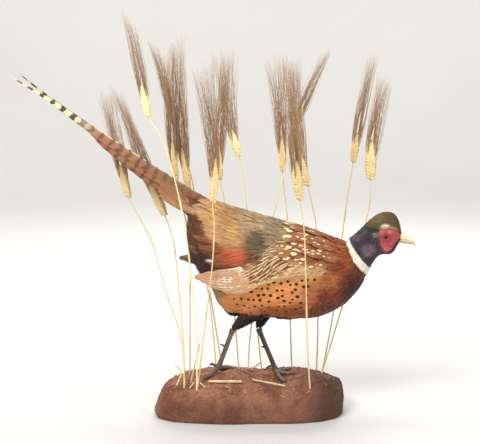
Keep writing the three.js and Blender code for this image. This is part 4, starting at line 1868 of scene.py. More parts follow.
SMALL = VaneShape(rows=4, columns=2, root=0.5, widest=0.45, tip=0.2, ragged=0.08, crown=0.3)
ROUND = VaneShape(rows=9, columns=4, root=0.4, widest=0.62, tip=0.2, ragged=0.09)
LONG = VaneShape(rows=12, columns=4, root=0.4, widest=0.5, tip=0.1, point=0.8, ragged=0.12)
LOOSE = VaneShape(rows=9, columns=4, root=0.4, widest=0.42, tip=0.05, point=0.95, ragged=0.3)
HAIRS = TuftShape()

# Columns: name, slot and tracts; finish; shape, spacing, length, half_width, lift, sink, roll,
# yaw, shade and marks.
COATS = (
    Coat("crown_feathers", "head_plumage", ("crown", "brow"),
        Plumage("crown", roughness=0.7, barb_depth=0.4, loose=True),
        SMALL, 1.55, 6.0, 1.0, 1.0, -0.3, 4, 8, 0.15),
    Coat("ear_feathers", "head_plumage", ("ear", "chin", "ear_spot"),
        Plumage("ear", roughness=0.42, sheen=0.1, sheen_tint="3f6a58", loose=True),
        SMALL, 1.5, 5.0, 0.95, 0.8, -0.3, 4, 7, 0.14),
    Coat("neck_feathers", "neck_plumage", ("neck",),
        Plumage("neck", roughness=0.36, sheen=0.25, sheen_tint="8a7ac0",
            metallic=0.2, barb_depth=0.35, loose=True),
        SMALL, 1.85, 8.0, 1.4, 1.6, -0.4, 4, 7, 0.2),
    Coat("collar_feathers", "neck_plumage", ("collar",),
        Plumage("collar", roughness=0.6, barb_depth=0.05, loose=True),
        SMALL, 1.6, 6.5, 1.35, 2.2, -0.4, 4, 4, 0.015),
    Coat("nape_feathers", "body_plumage", ("nape",),
        Plumage("nape", Pattern.FRINGE, border="5c2f1a", barb_depth=0.25),
        ROUND, 4.9, 19, 4.2, 3.2, -0.6, 7, 6, 0.12, faint_mark),
    Coat("mantle_feathers", "body_plumage", ("mantle",),
        Plumage("mantle", Pattern.PEARL, mark="f8e0b6", border="3a1e10", barb_depth=0.2),
        ROUND, 10.4, 33, 9.4, 4.2, -0.6, 7, 8, 0.12, pearl_mark),
    Coat("scapular_feathers", "body_plumage", ("scapular",),
        Plumage("scapular", Pattern.STREAK, mark="f8d6a4", border="5a3218"),
        LONG, 7.6, 40, 5.0, 4.8, -0.6, 8, 6, 0.12),
    Coat("covert_feathers", "wing_plumage", ("covert",),
        Plumage("covert", Pattern.STREAK, mark="eec894", border="9a7048"),
        ROUND, 6.4, 27, 5.6, 4.6, -0.6, 8, 5, 0.10, faint_mark),
    Coat("breast_feathers", "body_plumage", ("breast",),
        Plumage("breast", Pattern.DROP, border="26120a", roughness=0.5),
        ROUND, 5.6, 19, 5.2, 3.0, -0.6, 7, 6, 0.14, breast_mark),
    Coat("flank_feathers", "body_plumage", ("flank",),
        Plumage("flank", Pattern.DROP, border="2c1408"),
        ROUND, 11.2, 37, 10.4, 4.4, -0.6, 7, 6, 0.08, drop_mark),
    Coat("vent_feathers", "body_plumage", ("vent",),
        Plumage("vent", barb_depth=0.4, loose=True),
        LOOSE, 5.2, 26, 4.4, 4.6, -0.6, 7, 9, 0.16),
    Coat("undertail_feathers", "body_plumage", ("undertail",),
        Plumage("undertail", Pattern.FRINGE, border="d6a87c", barb_depth=0.5, loose=True),
        LOOSE, 4.8, 32, 4.0, 5.6, -0.6, 6, 12, 0.28, tipped_mark),
    Coat("side_plumes", "body_plumage", ("plume",),
        Plumage("side_plume", barb_depth=0.35, loose=True),
        LOOSE, 5.2, 46, 4.4, 5.6, -0.6, 7, 7, 0.14, hug=0.6),
    Coat("rump_feathers", "body_plumage", ("rump",),
        Plumage("rump", Pattern.FRINGE, border="dcc8a4", barb_depth=0.45, loose=True),
        LOOSE, 4.8, 30, 4.2, 4.6, -0.6, 6, 8, 0.14, tipped_mark),
    Coat("back_feathers", "body_plumage", ("back",),
        Plumage("back", barb_depth=0.35, loose=True),
        LOOSE, 4.6, 44, 4.2, 5.2, -0.6, 6, 7, 0.10),
    Coat("tail_covert_feathers", "body_plumage", ("tail_covert",),
        Plumage("tail_covert", barb_depth=0.35, loose=True),
        LOOSE, 4.6, 66, 4.8, 5.2, -0.6, 6, 3, 0.10, hug=0.08),
    Coat("tail_root_feathers", "tail_plumage", ("tail_top",),
        Plumage("tail_root", barb_depth=0.4, loose=True),
        LONG, 4.6, 52, 4.6, 3.4, -0.6, 5, 2.5, 0.09, hug=0.5),
    Coat("rump_hairs", "body_plumage", ("rump", "plume", "back"),
        Plumage("rump_hair", barb_depth=0.1),
        HAIRS, 7.6, 30, 5.0, 5.6, 0.5, 3, 9, 0.18),
    Coat("tail_end_hairs", "body_plumage", ("undertail",),
        Plumage("tail_end_hair", barb_depth=0.1),
        HAIRS, 8.0, 36, 5.0, 8.0, 0.5, 3, 16, 0.35),
    Coat("belly_hairs", "body_plumage", ("belly", "vent"),
        Plumage("belly_hair", roughness=0.7),
        HAIRS, 5.0, 21, 4.2, 5.0, -0.4, 4, 9, 0.18),
    Coat("thigh_feathers", "thigh_plumage", ("thigh", "belly"),
        Plumage("thigh", roughness=0.7, barb_depth=0.4, loose=True),
        LOOSE, 3.8, 15, 2.9, 2.8, -0.5, 5, 10, 0.2),
)


# ---- Eyes and bill ----


@dataclass
class Eyes:
    """Two glass eyes. Angles are in degrees from the middle of the pupil."""

    pupil: float = 25.0
    iris: float = 47.0
    cornea: float = 0.45
    cornea_reach: float = 34.0

    def build(self) -> None:
        """Makes both eyes."""
        material = self._material()
        for name, side in (("right", -1), ("left", 1)):
            bm = bmesh.new()
            bmesh.ops.create_uvsphere(bm, u_segments=48, v_segments=36, radius=EYE_RADIUS * MM)
            for vertex in bm.verts:
                polar = math.degrees(vertex.co.angle(Vector((0, 0, 1))))
                bulge = math.exp(-((polar / self.cornea_reach) ** 2))
                vertex.co *= 1 + self.cornea / EYE_RADIUS * bulge
            out = Vector(gaze(side)).normalized()
            turn = Vector((0, 0, 1)).rotation_difference(out).to_matrix()
            bmesh.ops.rotate(bm, verts=bm.verts, cent=(0, 0, 0), matrix=turn)
            middle = Vector(eye_place(side))
            bmesh.ops.translate(bm, verts=bm.verts, vec=middle)
            piece = from_bmesh(f"glass_eye_{name}", bm, material)
            polar = [math.degrees((v.co - middle).angle(out)) for v in piece.data.vertices]
            keep(piece.data, polar=np.array(polar))
            register(piece, "eye", f"eye_{name}")

    def _material(self) -> bpy.types.Material:
        """Black pupil, brown iris with fine rays, and a wet surface.

        Returns:
            The material.
        """
        sheet = Sheet("eye_glass")
        polar = sheet.attribute("polar")
        rays = sheet.noise(sheet.places(), 1500, 2)
        iris = sheet.mix(rays.rise(0.3, 0.7), paint("4a2010"), paint("743716"))
        iris = sheet.mix(polar.rise(self.iris - 9, self.iris), iris, paint("1c0e08"))
        colour = sheet.mix(polar.rise(self.pupil - 1, self.pupil + 1), paint("050404"), iris)
        return sheet.finish(
            Base_Color=colour,
            Roughness=0.08,
            Coat_Weight=0.4,
            Coat_Roughness=0.02,
            Specular_IOR_Level=0.15,
        )


@dataclass
class Bill:
    """A curved ivory bill. Rows hold top x, z, bottom x, z and half width in millimetres."""

    upper: tuple[tuple[float, ...], ...] = (
        (280, 347.5, 280, 331.5, 9.2), (284, 346.6, 284, 331.5, 9.0),
        (294, 343.6, 294, 330.2, 8.0), (302, 339.6, 302, 328.4, 6.4),
        (311, 333, 309, 325.6, 4.6), (317, 325.5, 315, 321.2, 2.6),
        (319.8, 318, 318.4, 317, 0.7),
    )
    lower: tuple[tuple[float, ...], ...] = (
        (280, 333, 280, 322.6, 8.0), (286, 332.4, 286, 322.8, 7.4),
        (294, 331.8, 294, 323.4, 6.7), (302, 330.0, 303, 321.8, 5.4),
        (308, 327.4, 308.5, 321.2, 3.7), (312.6, 324.6, 312.4, 321.2, 2.0),
        (315.8, 322.4, 315.6, 321.5, 0.5),
    )

    def build(self) -> None:
        """Makes both halves."""
        material = self._material()
        for name, rows, roof in (("upper", self.upper, 1), ("lower", self.lower, -1)):
            bm = self._half(rows, roof)
            piece = from_bmesh(f"bill_{name}_horn", bm, material)
            register(piece, "bill", f"bill_{name}")

    @staticmethod
    def _half(rows: Sequence[Sequence[float]], roof: int) -> BMesh:
        """One half, with its ridge on the roof side.

        Args:
            rows: Its ribs.
            roof: 1 if the ridge is on top and -1 if it is below.

        Returns:
            The shape.
        """
        bm = bmesh.new()
        across, high, level = spots(column(bm, 32, 48)).T
        row = along_rows(rows, level + 0.5)
        flat = np.where(high * roof < 0, np.sign(high) * np.abs(high) ** 0.6, high)
        pinch = 1 - 0.28 * np.clip(high * roof, 0, 1) ** 2
        top = np.stack([row[:, 0], np.zeros(len(row)), row[:, 1]], 1)
        bottom = np.stack([row[:, 2], np.zeros(len(row)), row[:, 3]], 1)
        places = (top + bottom) / 2 + (top - bottom) / 2 * flat[:, None]
        x, z = places[:, 0], places[:, 2]
        side = across * row[:, 4] * pinch
        if roof > 0:
            slit = hump((x, 292, 2.7), (z, 337.8, 0.9))
            flap = hump((x, 291, 4), (z, 341, 1.8))
            gape = hump((x, 283.5, 3.2), (z, 332, 2.4))
            side = side + np.sign(across) * (0.5 * flap - 1.1 * slit + 2.2 * gape)
        move(bm.verts, np.stack([x, side, z], 1) * MM)
        return bm

    @staticmethod
    def _material() -> bpy.types.Material:
        """Ivory horn with faint growth lines, darker and greener at the root, and olive low down,
        deepened by painted shade.

        Returns:
            The material.
        """
        sheet = Sheet("bill_horn")
        here = sheet.places()
        x, _, z = sheet.parts(here)
        streak = sheet.noise(sheet.stretched(here, (60, 500, 500)), 1.0, 3)
        ivory = sheet.mix(streak.rise(0.35, 0.75), paint("f6ecc4"), paint("dccb98"))
        root = (x + streak * 0.004).fall(0.288, 0.296)
        # Darker olive low on the bill: partly the horn's own colour, partly painted shade under the
        # upper mandible.
        under = (z - (0.316 - x) * 0.18 + streak * 0.001).fall(0.3245, 0.3275)
        colour = sheet.mix(under * 0.6, ivory, paint("a39260"))
        colour = sheet.mix(root * 0.4, colour, paint("a99f78"))
        return sheet.finish(
            Base_Color=colour,
            Roughness=0.32 + streak * 0.15,
            Normal=sheet.bump(streak, 0.25, 0.15 * MM),
            Subsurface_Weight=0.1,
            Subsurface_Scale=0.002,
            Coat_Weight=0.15,
        )


# ---- Wings and tail ----

SHOULDER = (
    (150, 303, 50, 149, 283, 53, 2.5), (134, 311, 58, 130, 275, 63, 6.5),
    (95, 318, 65, 90, 270, 75, 8), (52, 316, 69, 46, 262, 79, 8), (6, 296, 72, 0, 243, 77, 7),
)
RIGHT_TIP = ((-40, 290, 66, -36, 240, 70, 5), (-76, 288, 57, -70, 248, 61, 3),
    (-100, 274, 50, -98, 262, 51, 1))
LEFT_TIP = ((-40, 300, 66, -38, 250, 69, 5), (-86, 308, 57, -80, 264, 60, 3.5),
    (-114, 302, 53, -106, 272, 54, 2), (-134, 293, 50, -131, 284, 51, 1))
# The right wing has the quills' own pinkish tan; the left wing's darker grey-brown is painted shade
# on the far wing.
QUILL_TINTS = {-1: "d4a27c", 1: "7d6a5a"}


@dataclass
class Wing:
    """The quills of a folded wing, which stick out from under its coverts.

    Ribs hold top x, z, y, bottom x, z, y and half thickness. Each quill has the share of the way
    to the wing's tip that it reaches, its level there, its level at its root and its half width.
    Levels are 1 at the wing's top edge and -1 at its bottom edge. The strip is each quill's share
    of the bake map's width, with a gap.
    """

    name: str
    side: int
    ribs: tuple[tuple[float, ...], ...]
    quills: tuple[tuple[float, float, float, float], ...] = (
        (0.60, 0.62, 0.70, 9.5), (0.76, 0.46, 0.60, 9.5), (0.90, 0.24, 0.48, 9.0),
        (0.98, 0.00, 0.32, 9.0), (1.0, -0.24, 0.14, 8.5), (0.94, -0.48, -0.06, 8.5),
        (0.84, -0.68, -0.06, 8.5), (0.70, -0.82, -0.16, 8.5), (0.56, -0.88, -0.26, 8.5),
    )
    coverts: tuple[tuple[float, float, float, float], ...] = (
        (0.34, 0.80, 0.80, 7.5), (0.44, 0.62, 0.66, 7.5), (0.40, 0.42, 0.50, 7.5),
        (0.50, 0.22, 0.34, 7.5), (0.43, 0.02, 0.18, 7.5), (0.51, -0.18, 0.02, 7.5),
        (0.44, -0.38, -0.04, 7.5), (0.49, -0.56, -0.12, 7.5), (0.42, -0.72, -0.20, 7.5),
        (0.46, -0.84, -0.28, 7.0),
    )
    root: float = 62.0
    roll: float = 0.13
    strip: float = 0.051
    shape: VaneShape = VaneShape(
        rows=22, columns=6, root=0.7, widest=0.4, tip=0.3, point=0.42, crown=0.1, shaft=0.05,
        ragged=0.035)

    def build(self) -> None:
        """Makes the quills' object."""
        rng = Draws.QUILLS.rng(self.side)
        reach = self.root - (self.ribs[-1][0] + self.ribs[-1][3]) / 2
        heap = Heap(f"quills_{self.name}")
        steps = np.linspace(0, 1, 13)
        roll = np.array([-self.roll * self.side])
        for i, (share, tip_level, root_level, half) in enumerate(self.quills + self.coverts):
            over = i >= len(self.quills)
            row = i - len(self.quills) * over
            x = self.root - reach * share * steps
            level = root_level + (tip_level - root_level) * ease(steps, 0.3, 1)
            place, out = self._outer(x, level)
            bare = 26 * max(root_level, 0)
            lift = ease(-x, bare - 22, bare + 22 - 14 * over)
            lift = -8 + (10.4 + 1.8 * over - 0.4 * row) * lift
            lift = lift - (1.2 + 0.8 * over) * ease(steps, 0.75, 1.0)
            path = Paths.one((place + out * lift[:, None]) * MM, out, half * MM).rolled(roll)
            tint = rgb(QUILL_TINTS[self.side])
            tint = tint * rng.uniform(0.85, 1.12) * (1 + 0.1 * over)
            blank, mark = self.shape.blank(rng), np.array([rng.uniform(0.3, 0.9)])
            corner = np.array([[MAP_MARGIN + i * self.strip, MAP_MARGIN]])
            heap.lay(blank, path, tint[None], mark, corner, (self.strip - 0.005, 0.97))
        # Its border colour is the painted shade between shaft and edge of each quill.
        finish = Plumage("quill", Pattern.FLIGHT, mark="fff0d6", border="6a4a30",
            barb_pitch=1.0 * MM, barb_depth=0.16, roughness=0.55)
        register(heap.piece(finish.dress()), "wing_plumage", f"wing_{self.name}")

    def _outer(self, x: Array, level: Array) -> tuple[Array, Array]:
        """Reads the wing's outer face.

        Args:
            x: Where along it, in millimetres.
            level: How high on it there, from -1 to 1.

        Returns:
            Places in millimetres, and the way out from each.
        """
        shares = np.linspace(0, 1, 80)
        grid = along_rows(self.ribs, shares)
        row = along_rows(self.ribs, np.interp(-x, -(grid[:, 0] + grid[:, 3]) / 2, shares))
        top, bottom = row[:, [0, 2, 1]], row[:, [3, 5, 4]]
        bulge = np.sqrt(1 - level**2)
        place = (top + bottom) / 2 + (top - bottom) / 2 * level[:, None]
        place[:, 1] += row[:, 6] * bulge
        out = np.stack([np.zeros(len(x)), np.ones(len(x)), 0.3 * level], 1)
        mirror = np.array([1, self.side, 1])
        return place * mirror, unit(out) * mirror


TAIL_RIBS = ((-80, 408, 30, 26), (-112, 423, 38, 34), (-164, 454, 27, 31), (-207, 483, 24, 26),
    (-248, 511, 21, 22), (-292, 541, 17, 17), (-340, 573, 11, 11), (-371, 593, 7, 7))
LONG_ROUTES = {
    -1: ((-70, -3, 402), (-112, -3, 425), (-207, -4, 484), (-300, -4, 543), (-371, -5, 592),
        (-444, -7, 637)),
    1: ((-70, 3, 402), (-112, 3, 425), (-207, 4, 484), (-300, 4, 543), (-371, 5, 594),
        (-436, 7, 646)),
}


@dataclass
class Tail:
    """Long pointed feathers, shorter towards the sides, under short coverts at the root.

    Ribs hold x and z of the ridge, how far the edges hang below it and the half width. Tips hold
    the x that each pair of feathers reaches, from the outermost pair in.
    """

    tips: tuple[float, ...] = (-150, -182, -210, -235, -258, -278, -296, -314)
    up: tuple[float, float, float] = TAIL_UP
    root: float = -72.0
    sunk: float = -5.0
    step: float = 0.85
    strip: float = 0.054
    shape: VaneShape = VaneShape(
        rows=44, columns=6, root=0.55, widest=0.3, tip=0.07, point=1.45, crown=0.12, shaft=0.07,
        ragged=0.05)

    def build(self) -> None:
        """Makes all the feathers, each pair over the one outside it."""
        rng = Draws.TAIL.rng()
        heap = Heap("tail_feathers")
        steps = np.linspace(0, 1, 17)
        pairs = len(self.tips)
        for slot, (side, number) in enumerate((s, n) for s in (-1, 1) for n in range(pairs + 1)):
            long = number == pairs
            found = self._long(side, steps) if long else self._short(side, number, steps)
            place, out, half = found
            lift = self.sunk + self.step * number + 1.2 * steps
            path = Paths.one((place + out * lift[:, None]) * MM, out, half * MM)
            tint = rgb("b07c5a" if long else "a5714e") * rng.uniform(0.94, 1.06)
            mark = np.array([-side if long else 0.1 + 0.04 * number])
            corner = np.array([[MAP_MARGIN + slot * self.strip, MAP_MARGIN]])
            patch = (self.strip - 0.004, 0.97)
            heap.lay(self.shape.blank(rng), path, tint[None], mark, corner, patch)
        finish = Plumage("tail", Pattern.BANDED, mark="f8ecbc", border="3a2418",
            barb_pitch=1.3 * MM, barb_rake=4.0, barb_depth=0.22, roughness=0.5)
        register(heap.piece(finish.dress()), "tail_plumage", "tail")

    def _roof(self, x: Array, across: Array) -> tuple[Array, Array]:
        """Reads the tail's roof.

        Args:
            x: Where along it, in millimetres.
            across: How far from its ridge, in millimetres.

        Returns:
            Places in millimetres, and the way out from each.
        """
        shares = np.linspace(0, 1, 80)
        grid = along_rows(TAIL_RIBS, shares)
        row = along_rows(TAIL_RIBS, np.interp(-x, -grid[:, 0], shares))
        up = np.array(self.up)
        z = row[:, 1] + np.maximum(0, x + 80) * -0.55
        fall = row[:, 2] * (across / row[:, 3]) ** 2
        place = np.stack([x, across, z], 1) - up * fall[:, None]
        tilt = 2 * row[:, 2] * across / row[:, 3] ** 2
        return place, unit(up + np.stack([np.zeros(len(x)), tilt, np.zeros(len(x))], 1))

    def _short(self, side: int, number: int, steps: Array) -> tuple[Array, Array, float]:
        """A feather that lies on the tail's roof and fans out to its edge.

        Args:
            side: 1 on the left and -1 on the right.
            number: Its place in the row, from the outermost in.
            steps: Shares of its length.

        Returns:
            Places in millimetres, the way out from each, and its half width.
        """
        x = self.root + (self.tips[number] - self.root) * steps
        half = 11.5 + 0.2 * number
        wide = half * self.shape.width(steps)
        edge = np.interp(-x, [-r[0] for r in TAIL_RIBS], [r[3] for r in TAIL_RIBS])
        edge = np.maximum(edge - 0.5 * wide, 1.0) * (1 - 0.4 * ease(steps, 0.75, 1.0))
        inner = np.maximum(2 + 2.2 * (len(self.tips) - number), 0.85 * wide - 1.5)
        fanned = ease(steps, 0.0, 0.85)
        return *self._roof(x, side * (inner * (1 - fanned) + edge * fanned)), half

    def _long(self, side: int, steps: Array) -> tuple[Array, Array, float]:
        """One of the middle pair, which lean together like a roof.

        Args:
            side: 1 on the left and -1 on the right.
            steps: Shares of its length.

        Returns:
            Places in millimetres, the way out from each, and its half width.
        """
        place, up, half = drawn(LONG_ROUTES[side], steps) / MM, np.array(self.up), 12.5
        wide = half * self.shape.width(steps)
        roll = 0.62 + 0.2 * ease(steps, 0.3, 0.85)
        raised = np.sin(0.3 + 0.52 * ease(steps, 0.3, 0.85))
        place[:, 1] = side * np.maximum(wide * np.cos(roll) - 1, np.abs(place[:, 1]))
        place = place - up * (wide * (np.sin(roll) - raised))[:, None]
        out = up * np.cos(roll)[:, None] + np.array([0, side, 0]) * np.sin(roll)[:, None]
        return place, out, half


# ---- Feet ----

GROUND = 62.0
MOUNDS = ((-50, -40, 20, 36), (-12, -50, 19, 28), (128, -50, 16, 38), (52, -12, -11, 32),
    (-150, 62, -15, 46), (172, 70, -9, 42), (30, 70, -5, 50))


def ground_height(x: float, y: float) -> float:
    """The ground's height.

    Args:
        x: Place along, in millimetres.
        y: Place across, in millimetres.

    Returns:
        The height there, in millimetres.
    """
    height = GROUND + 1.4 * math.sin(x * 0.071 + 1) * math.cos(y * 0.093)
    height += 0.9 * math.sin(x * 0.19 + y * 0.14)
    for middle_x, middle_y, rise, reach in MOUNDS:
        height += rise * math.exp(-(math.hypot(x - middle_x, y - middle_y) / reach) ** 2)
    return height


@dataclass
class Foot:
    """A scaled shank with three toes forward, a hind toe and a spur. Sizes in millimetres.

    The toes' routes are in plan, from the ball of the foot; heights are over the ground, at each
    toe's bend and end, and at its claw's crest and point.
    """

    name: str
    hock: tuple[float, float, float]
    ball: tuple[float, float]
    toes: tuple[tuple[tuple[float, float], ...], ...]
    hallux: tuple[tuple[float, float, float], ...]
    spur: tuple[tuple[float, float, float], ...]
    lift: float = 6.5
    toe_heights: tuple[float, float] = (4.4, 3.0)
    claw_heights: tuple[float, float] = (4.0, 1.0)
    claw_length: float = 12.0
    scute: float = 3.1
    scute_rise: float = 0.42
    voxel: float = 0.62

    def build(self) -> None:
        """Makes the skin of the foot and its claws."""
        bm, claws = bmesh.new(), bmesh.new()
        above, ahead = np.array([0, 0, 1.0]), np.array([1.0, 0, 0.3])
        ball = (*self.ball, ground_height(*self.ball) + self.lift)
        steps = np.linspace(0, 1, 24)
        spines = [drawn((self.hock, ball), steps)]
        tube(bm, spines[0], self._shank, 40, 20, ahead, 0.86)
        for _, bend, end in self.toes:
            middle = (*bend, ground_height(*bend) + self.toe_heights[0])
            tip = (*end, ground_height(*end) + self.toe_heights[1])
            spines.append(drawn((ball, middle, tip), steps))
            tube(bm, spines[-1], self._toe, 40, 16, above)
            onward = unit(np.subtract(end, bend).astype(float))
            outer = np.array(end) + onward * self.claw_length
            crest = np.array(end) + onward * self.claw_length * 0.5
            claw = (
                tuple(np.array(tip) - np.array([*onward, 0]) * 2.5),
                (*crest, ground_height(*crest) + self.claw_heights[0]),
                (*outer, ground_height(*outer) + self.claw_heights[1]),
            )
            tube(claws, drawn(claw, steps), self._claw, 16, 12, above, 0.75)
        start, bend, end = self.hallux
        short = tuple(np.array(bend) * 0.35 + np.array(end) * 0.65)
        spines.append(drawn((ball, start, bend, short), steps))
        tube(bm, spines[-1], lambda s, _: (3.1 - 0.9 * s) * MM, 24, 14, above)
        tube(claws, drawn((bend, short, end), steps), self._claw, 14, 10, above, 0.8)
        tube(claws, drawn(self.spur, steps), lambda s, _: (3.0 - 2.5 * s**1.3) * MM, 16, 12)
        self._skin(bm, spines)
        register(from_bmesh(f"claws_{self.name}", claws, self._horn()), "foot_scales")

    @staticmethod
    def _shank(share: Array, angle: Array) -> Array:
        """Radius of the shank: thick at both ends."""
        ends = 1.6 * hump((share, 0, 0.1)) + 1.5 * hump((1 - share, 0, 0.1))
        return (4.5 + ends + 0.35 * np.cos(angle)) * MM

    @staticmethod
    def _toe(share: Array, angle: Array) -> Array:
        """Radius of a toe with its joints."""
        joints = 0.45 * np.cos(share * math.tau * 3) * (np.cos(angle) < 0.3)
        return (4.4 - 1.5 * share + joints) * MM

    @staticmethod
    def _claw(share: Array, _: Array) -> Array:
        """Radius of a claw."""
        return (2.3 * (1 - share**1.6) + 0.25) * MM

    def _skin(self, bm: BMesh, spines: Sequence[Array]) -> None:
        """Joins the tubes into one skin with raised plates.

        Args:
            bm: The tubes, which are freed.
            spines: Their centre lines: first the shank's.
        """
        skin = evened(bm, self.voxel, 4)
        places, normals = faced(skin)
        way, front = self._ways(places, normals, spines)
        step = way / (self.scute * MM) % 1
        plate = (ease(step, 0, 0.25) * (1 - 0.5 * step)) * front
        move(skin.verts, places + normals * (self.scute_rise * plate * MM)[:, None])
        piece = from_bmesh(f"leg_{self.name}", skin, self._scales())
        keep(piece.data, way=way, front=front)
        register(piece, "foot_scales", f"foot_{self.name}")

    @staticmethod
    def _ways(places: Array, normals: Array, spines: Sequence[Array]) -> tuple[Array, Array]:
        """Measures each place against the spine nearest to it.

        Args:
            places: Places on the foot.
            normals: Its normals there.
            spines: The centre lines: first the shank's.

        Returns:
            How far along the spine it is, and how much it faces front or up.
        """
        best = np.full(len(places), np.inf)
        way, front = np.zeros(len(places)), np.zeros(len(places))
        for number, spine in enumerate(spines):
            gaps = np.linalg.norm(places[:, None] - spine[None], axis=2)
            nearest = gaps.argmin(1)
            tangents = unit(np.gradient(spine, axis=0))
            run = np.concatenate([[0], np.cumsum(np.linalg.norm(np.diff(spine, axis=0), axis=1))])
            ahead = ((places - spine[nearest]) * tangents[nearest]).sum(1)
            gap = gaps.min(1)
            own = gap < best
            best = np.where(own, gap, best)
            way = np.where(own, run[nearest] + ahead, way)
            faced = normals[:, 0] if number == 0 else normals[:, 2]
            front = np.where(own, ease(faced, 0.0, 0.35), front)
        return way, front

    def _scales(self) -> bpy.types.Material:
        """Grey-brown scaly skin: plates in front and small scales behind.

        Returns:
            The material.
        """
        sheet = Sheet(f"scaly_skin_{self.name}")
        here = sheet.places()
        front = sheet.attribute("front")
        way = sheet.attribute("way")
        step = sheet.math("FRACT", way / (self.scute * MM))
        plates = step.rise(0.0, 0.22)
        small = sheet.cells(here, 520, "DISTANCE_TO_EDGE").rise(0.0, 0.16)
        tops = sheet.mix(front, small, plates)
        cloud = sheet.noise(here, 110, 3)
        skin = sheet.mix(cloud.rise(0.3, 0.7), paint("5c4a40"), paint("83705f"))
        gaps = (1 - plates * front) * (1 - small * (1 - front))
        return sheet.finish(
            Base_Color=sheet.mix(gaps * 0.7, skin, paint("2e241e")),
            Roughness=0.42 + cloud * 0.2,
            Normal=sheet.bump(tops, 0.6, 0.3 * MM),
        )

    def _horn(self) -> bpy.types.Material:
        """Dark streaked horn.

        Returns:
            The material.
        """
        sheet = Sheet(f"claw_horn_{self.name}")
        streak = sheet.noise(sheet.stretched(sheet.places(), (90, 300, 300)), 1.0, 3)
        colour = sheet.mix(streak.rise(0.3, 0.7), paint("3a2d26"), paint("6b5848"))
        return sheet.finish(
            Base_Color=colour, Roughness=0.38, Normal=sheet.bump(streak, 0.3, 0.2 * MM)
        )


# ---- Ground ----


@dataclass(frozen=True)
class GrainShape:
    """A closed grain, pointed at both ends: x across, y along and z up."""

    rings: int = 6
    sides: int = 6
    plump: float = 0.75
    peak: float = 0.42
    tip: float = 0.06
    flat: float = 0.8

    def blank(self, rng: np.random.Generator) -> Blank:
        """Makes the grain.

        Args:
            rng: Random numbers for its lumps.

        Returns:
            The blank.
        """
        bm, flat = bmesh.new(), []
        for vertex in column(bm, self.sides, self.rings, matrix=ALONG_Y):
            y = min(max(vertex.co.y, 0.0), 1.0)
            bent = y ** (math.log(0.5) / math.log(self.peak))
            radius = self.tip + (1 - self.tip) * max(0.0, math.sin(math.pi * bent)) ** self.plump
            angle = math.atan2(vertex.co.z, vertex.co.x)
            flat.append((math.cos(angle), y))
            vertex.co.x *= radius * rng.uniform(0.95, 1.05)
            vertex.co.z *= radius * self.flat
        return Blank.from_bmesh(bm, np.array(flat))


@dataclass(frozen=True)
class StrandShape:
    """A closed tapering strand with room for joints."""

    rings: int = 9
    sides: int = 3
    tip: float = 0.18
    joints: tuple[float, ...] = ()

    def blank(self) -> Blank:
        """Makes the strand.

        Returns:
            The blank.
        """
        bm, flat = bmesh.new(), []
        for vertex in column(bm, self.sides, self.rings, matrix=ALONG_Y):
            y = min(max(vertex.co.y, 0.0), 1.0)
            radius = 1 + (self.tip - 1) * y
            for joint in self.joints:
                radius += 0.5 * math.exp(-(((y - joint) * 60) ** 2))
            angle = math.atan2(vertex.co.z, vertex.co.x)
            flat.append((angle / math.pi, y))
            vertex.co.x *= radius
            vertex.co.z *= radius
        return Blank.from_bmesh(bm, np.array(flat))


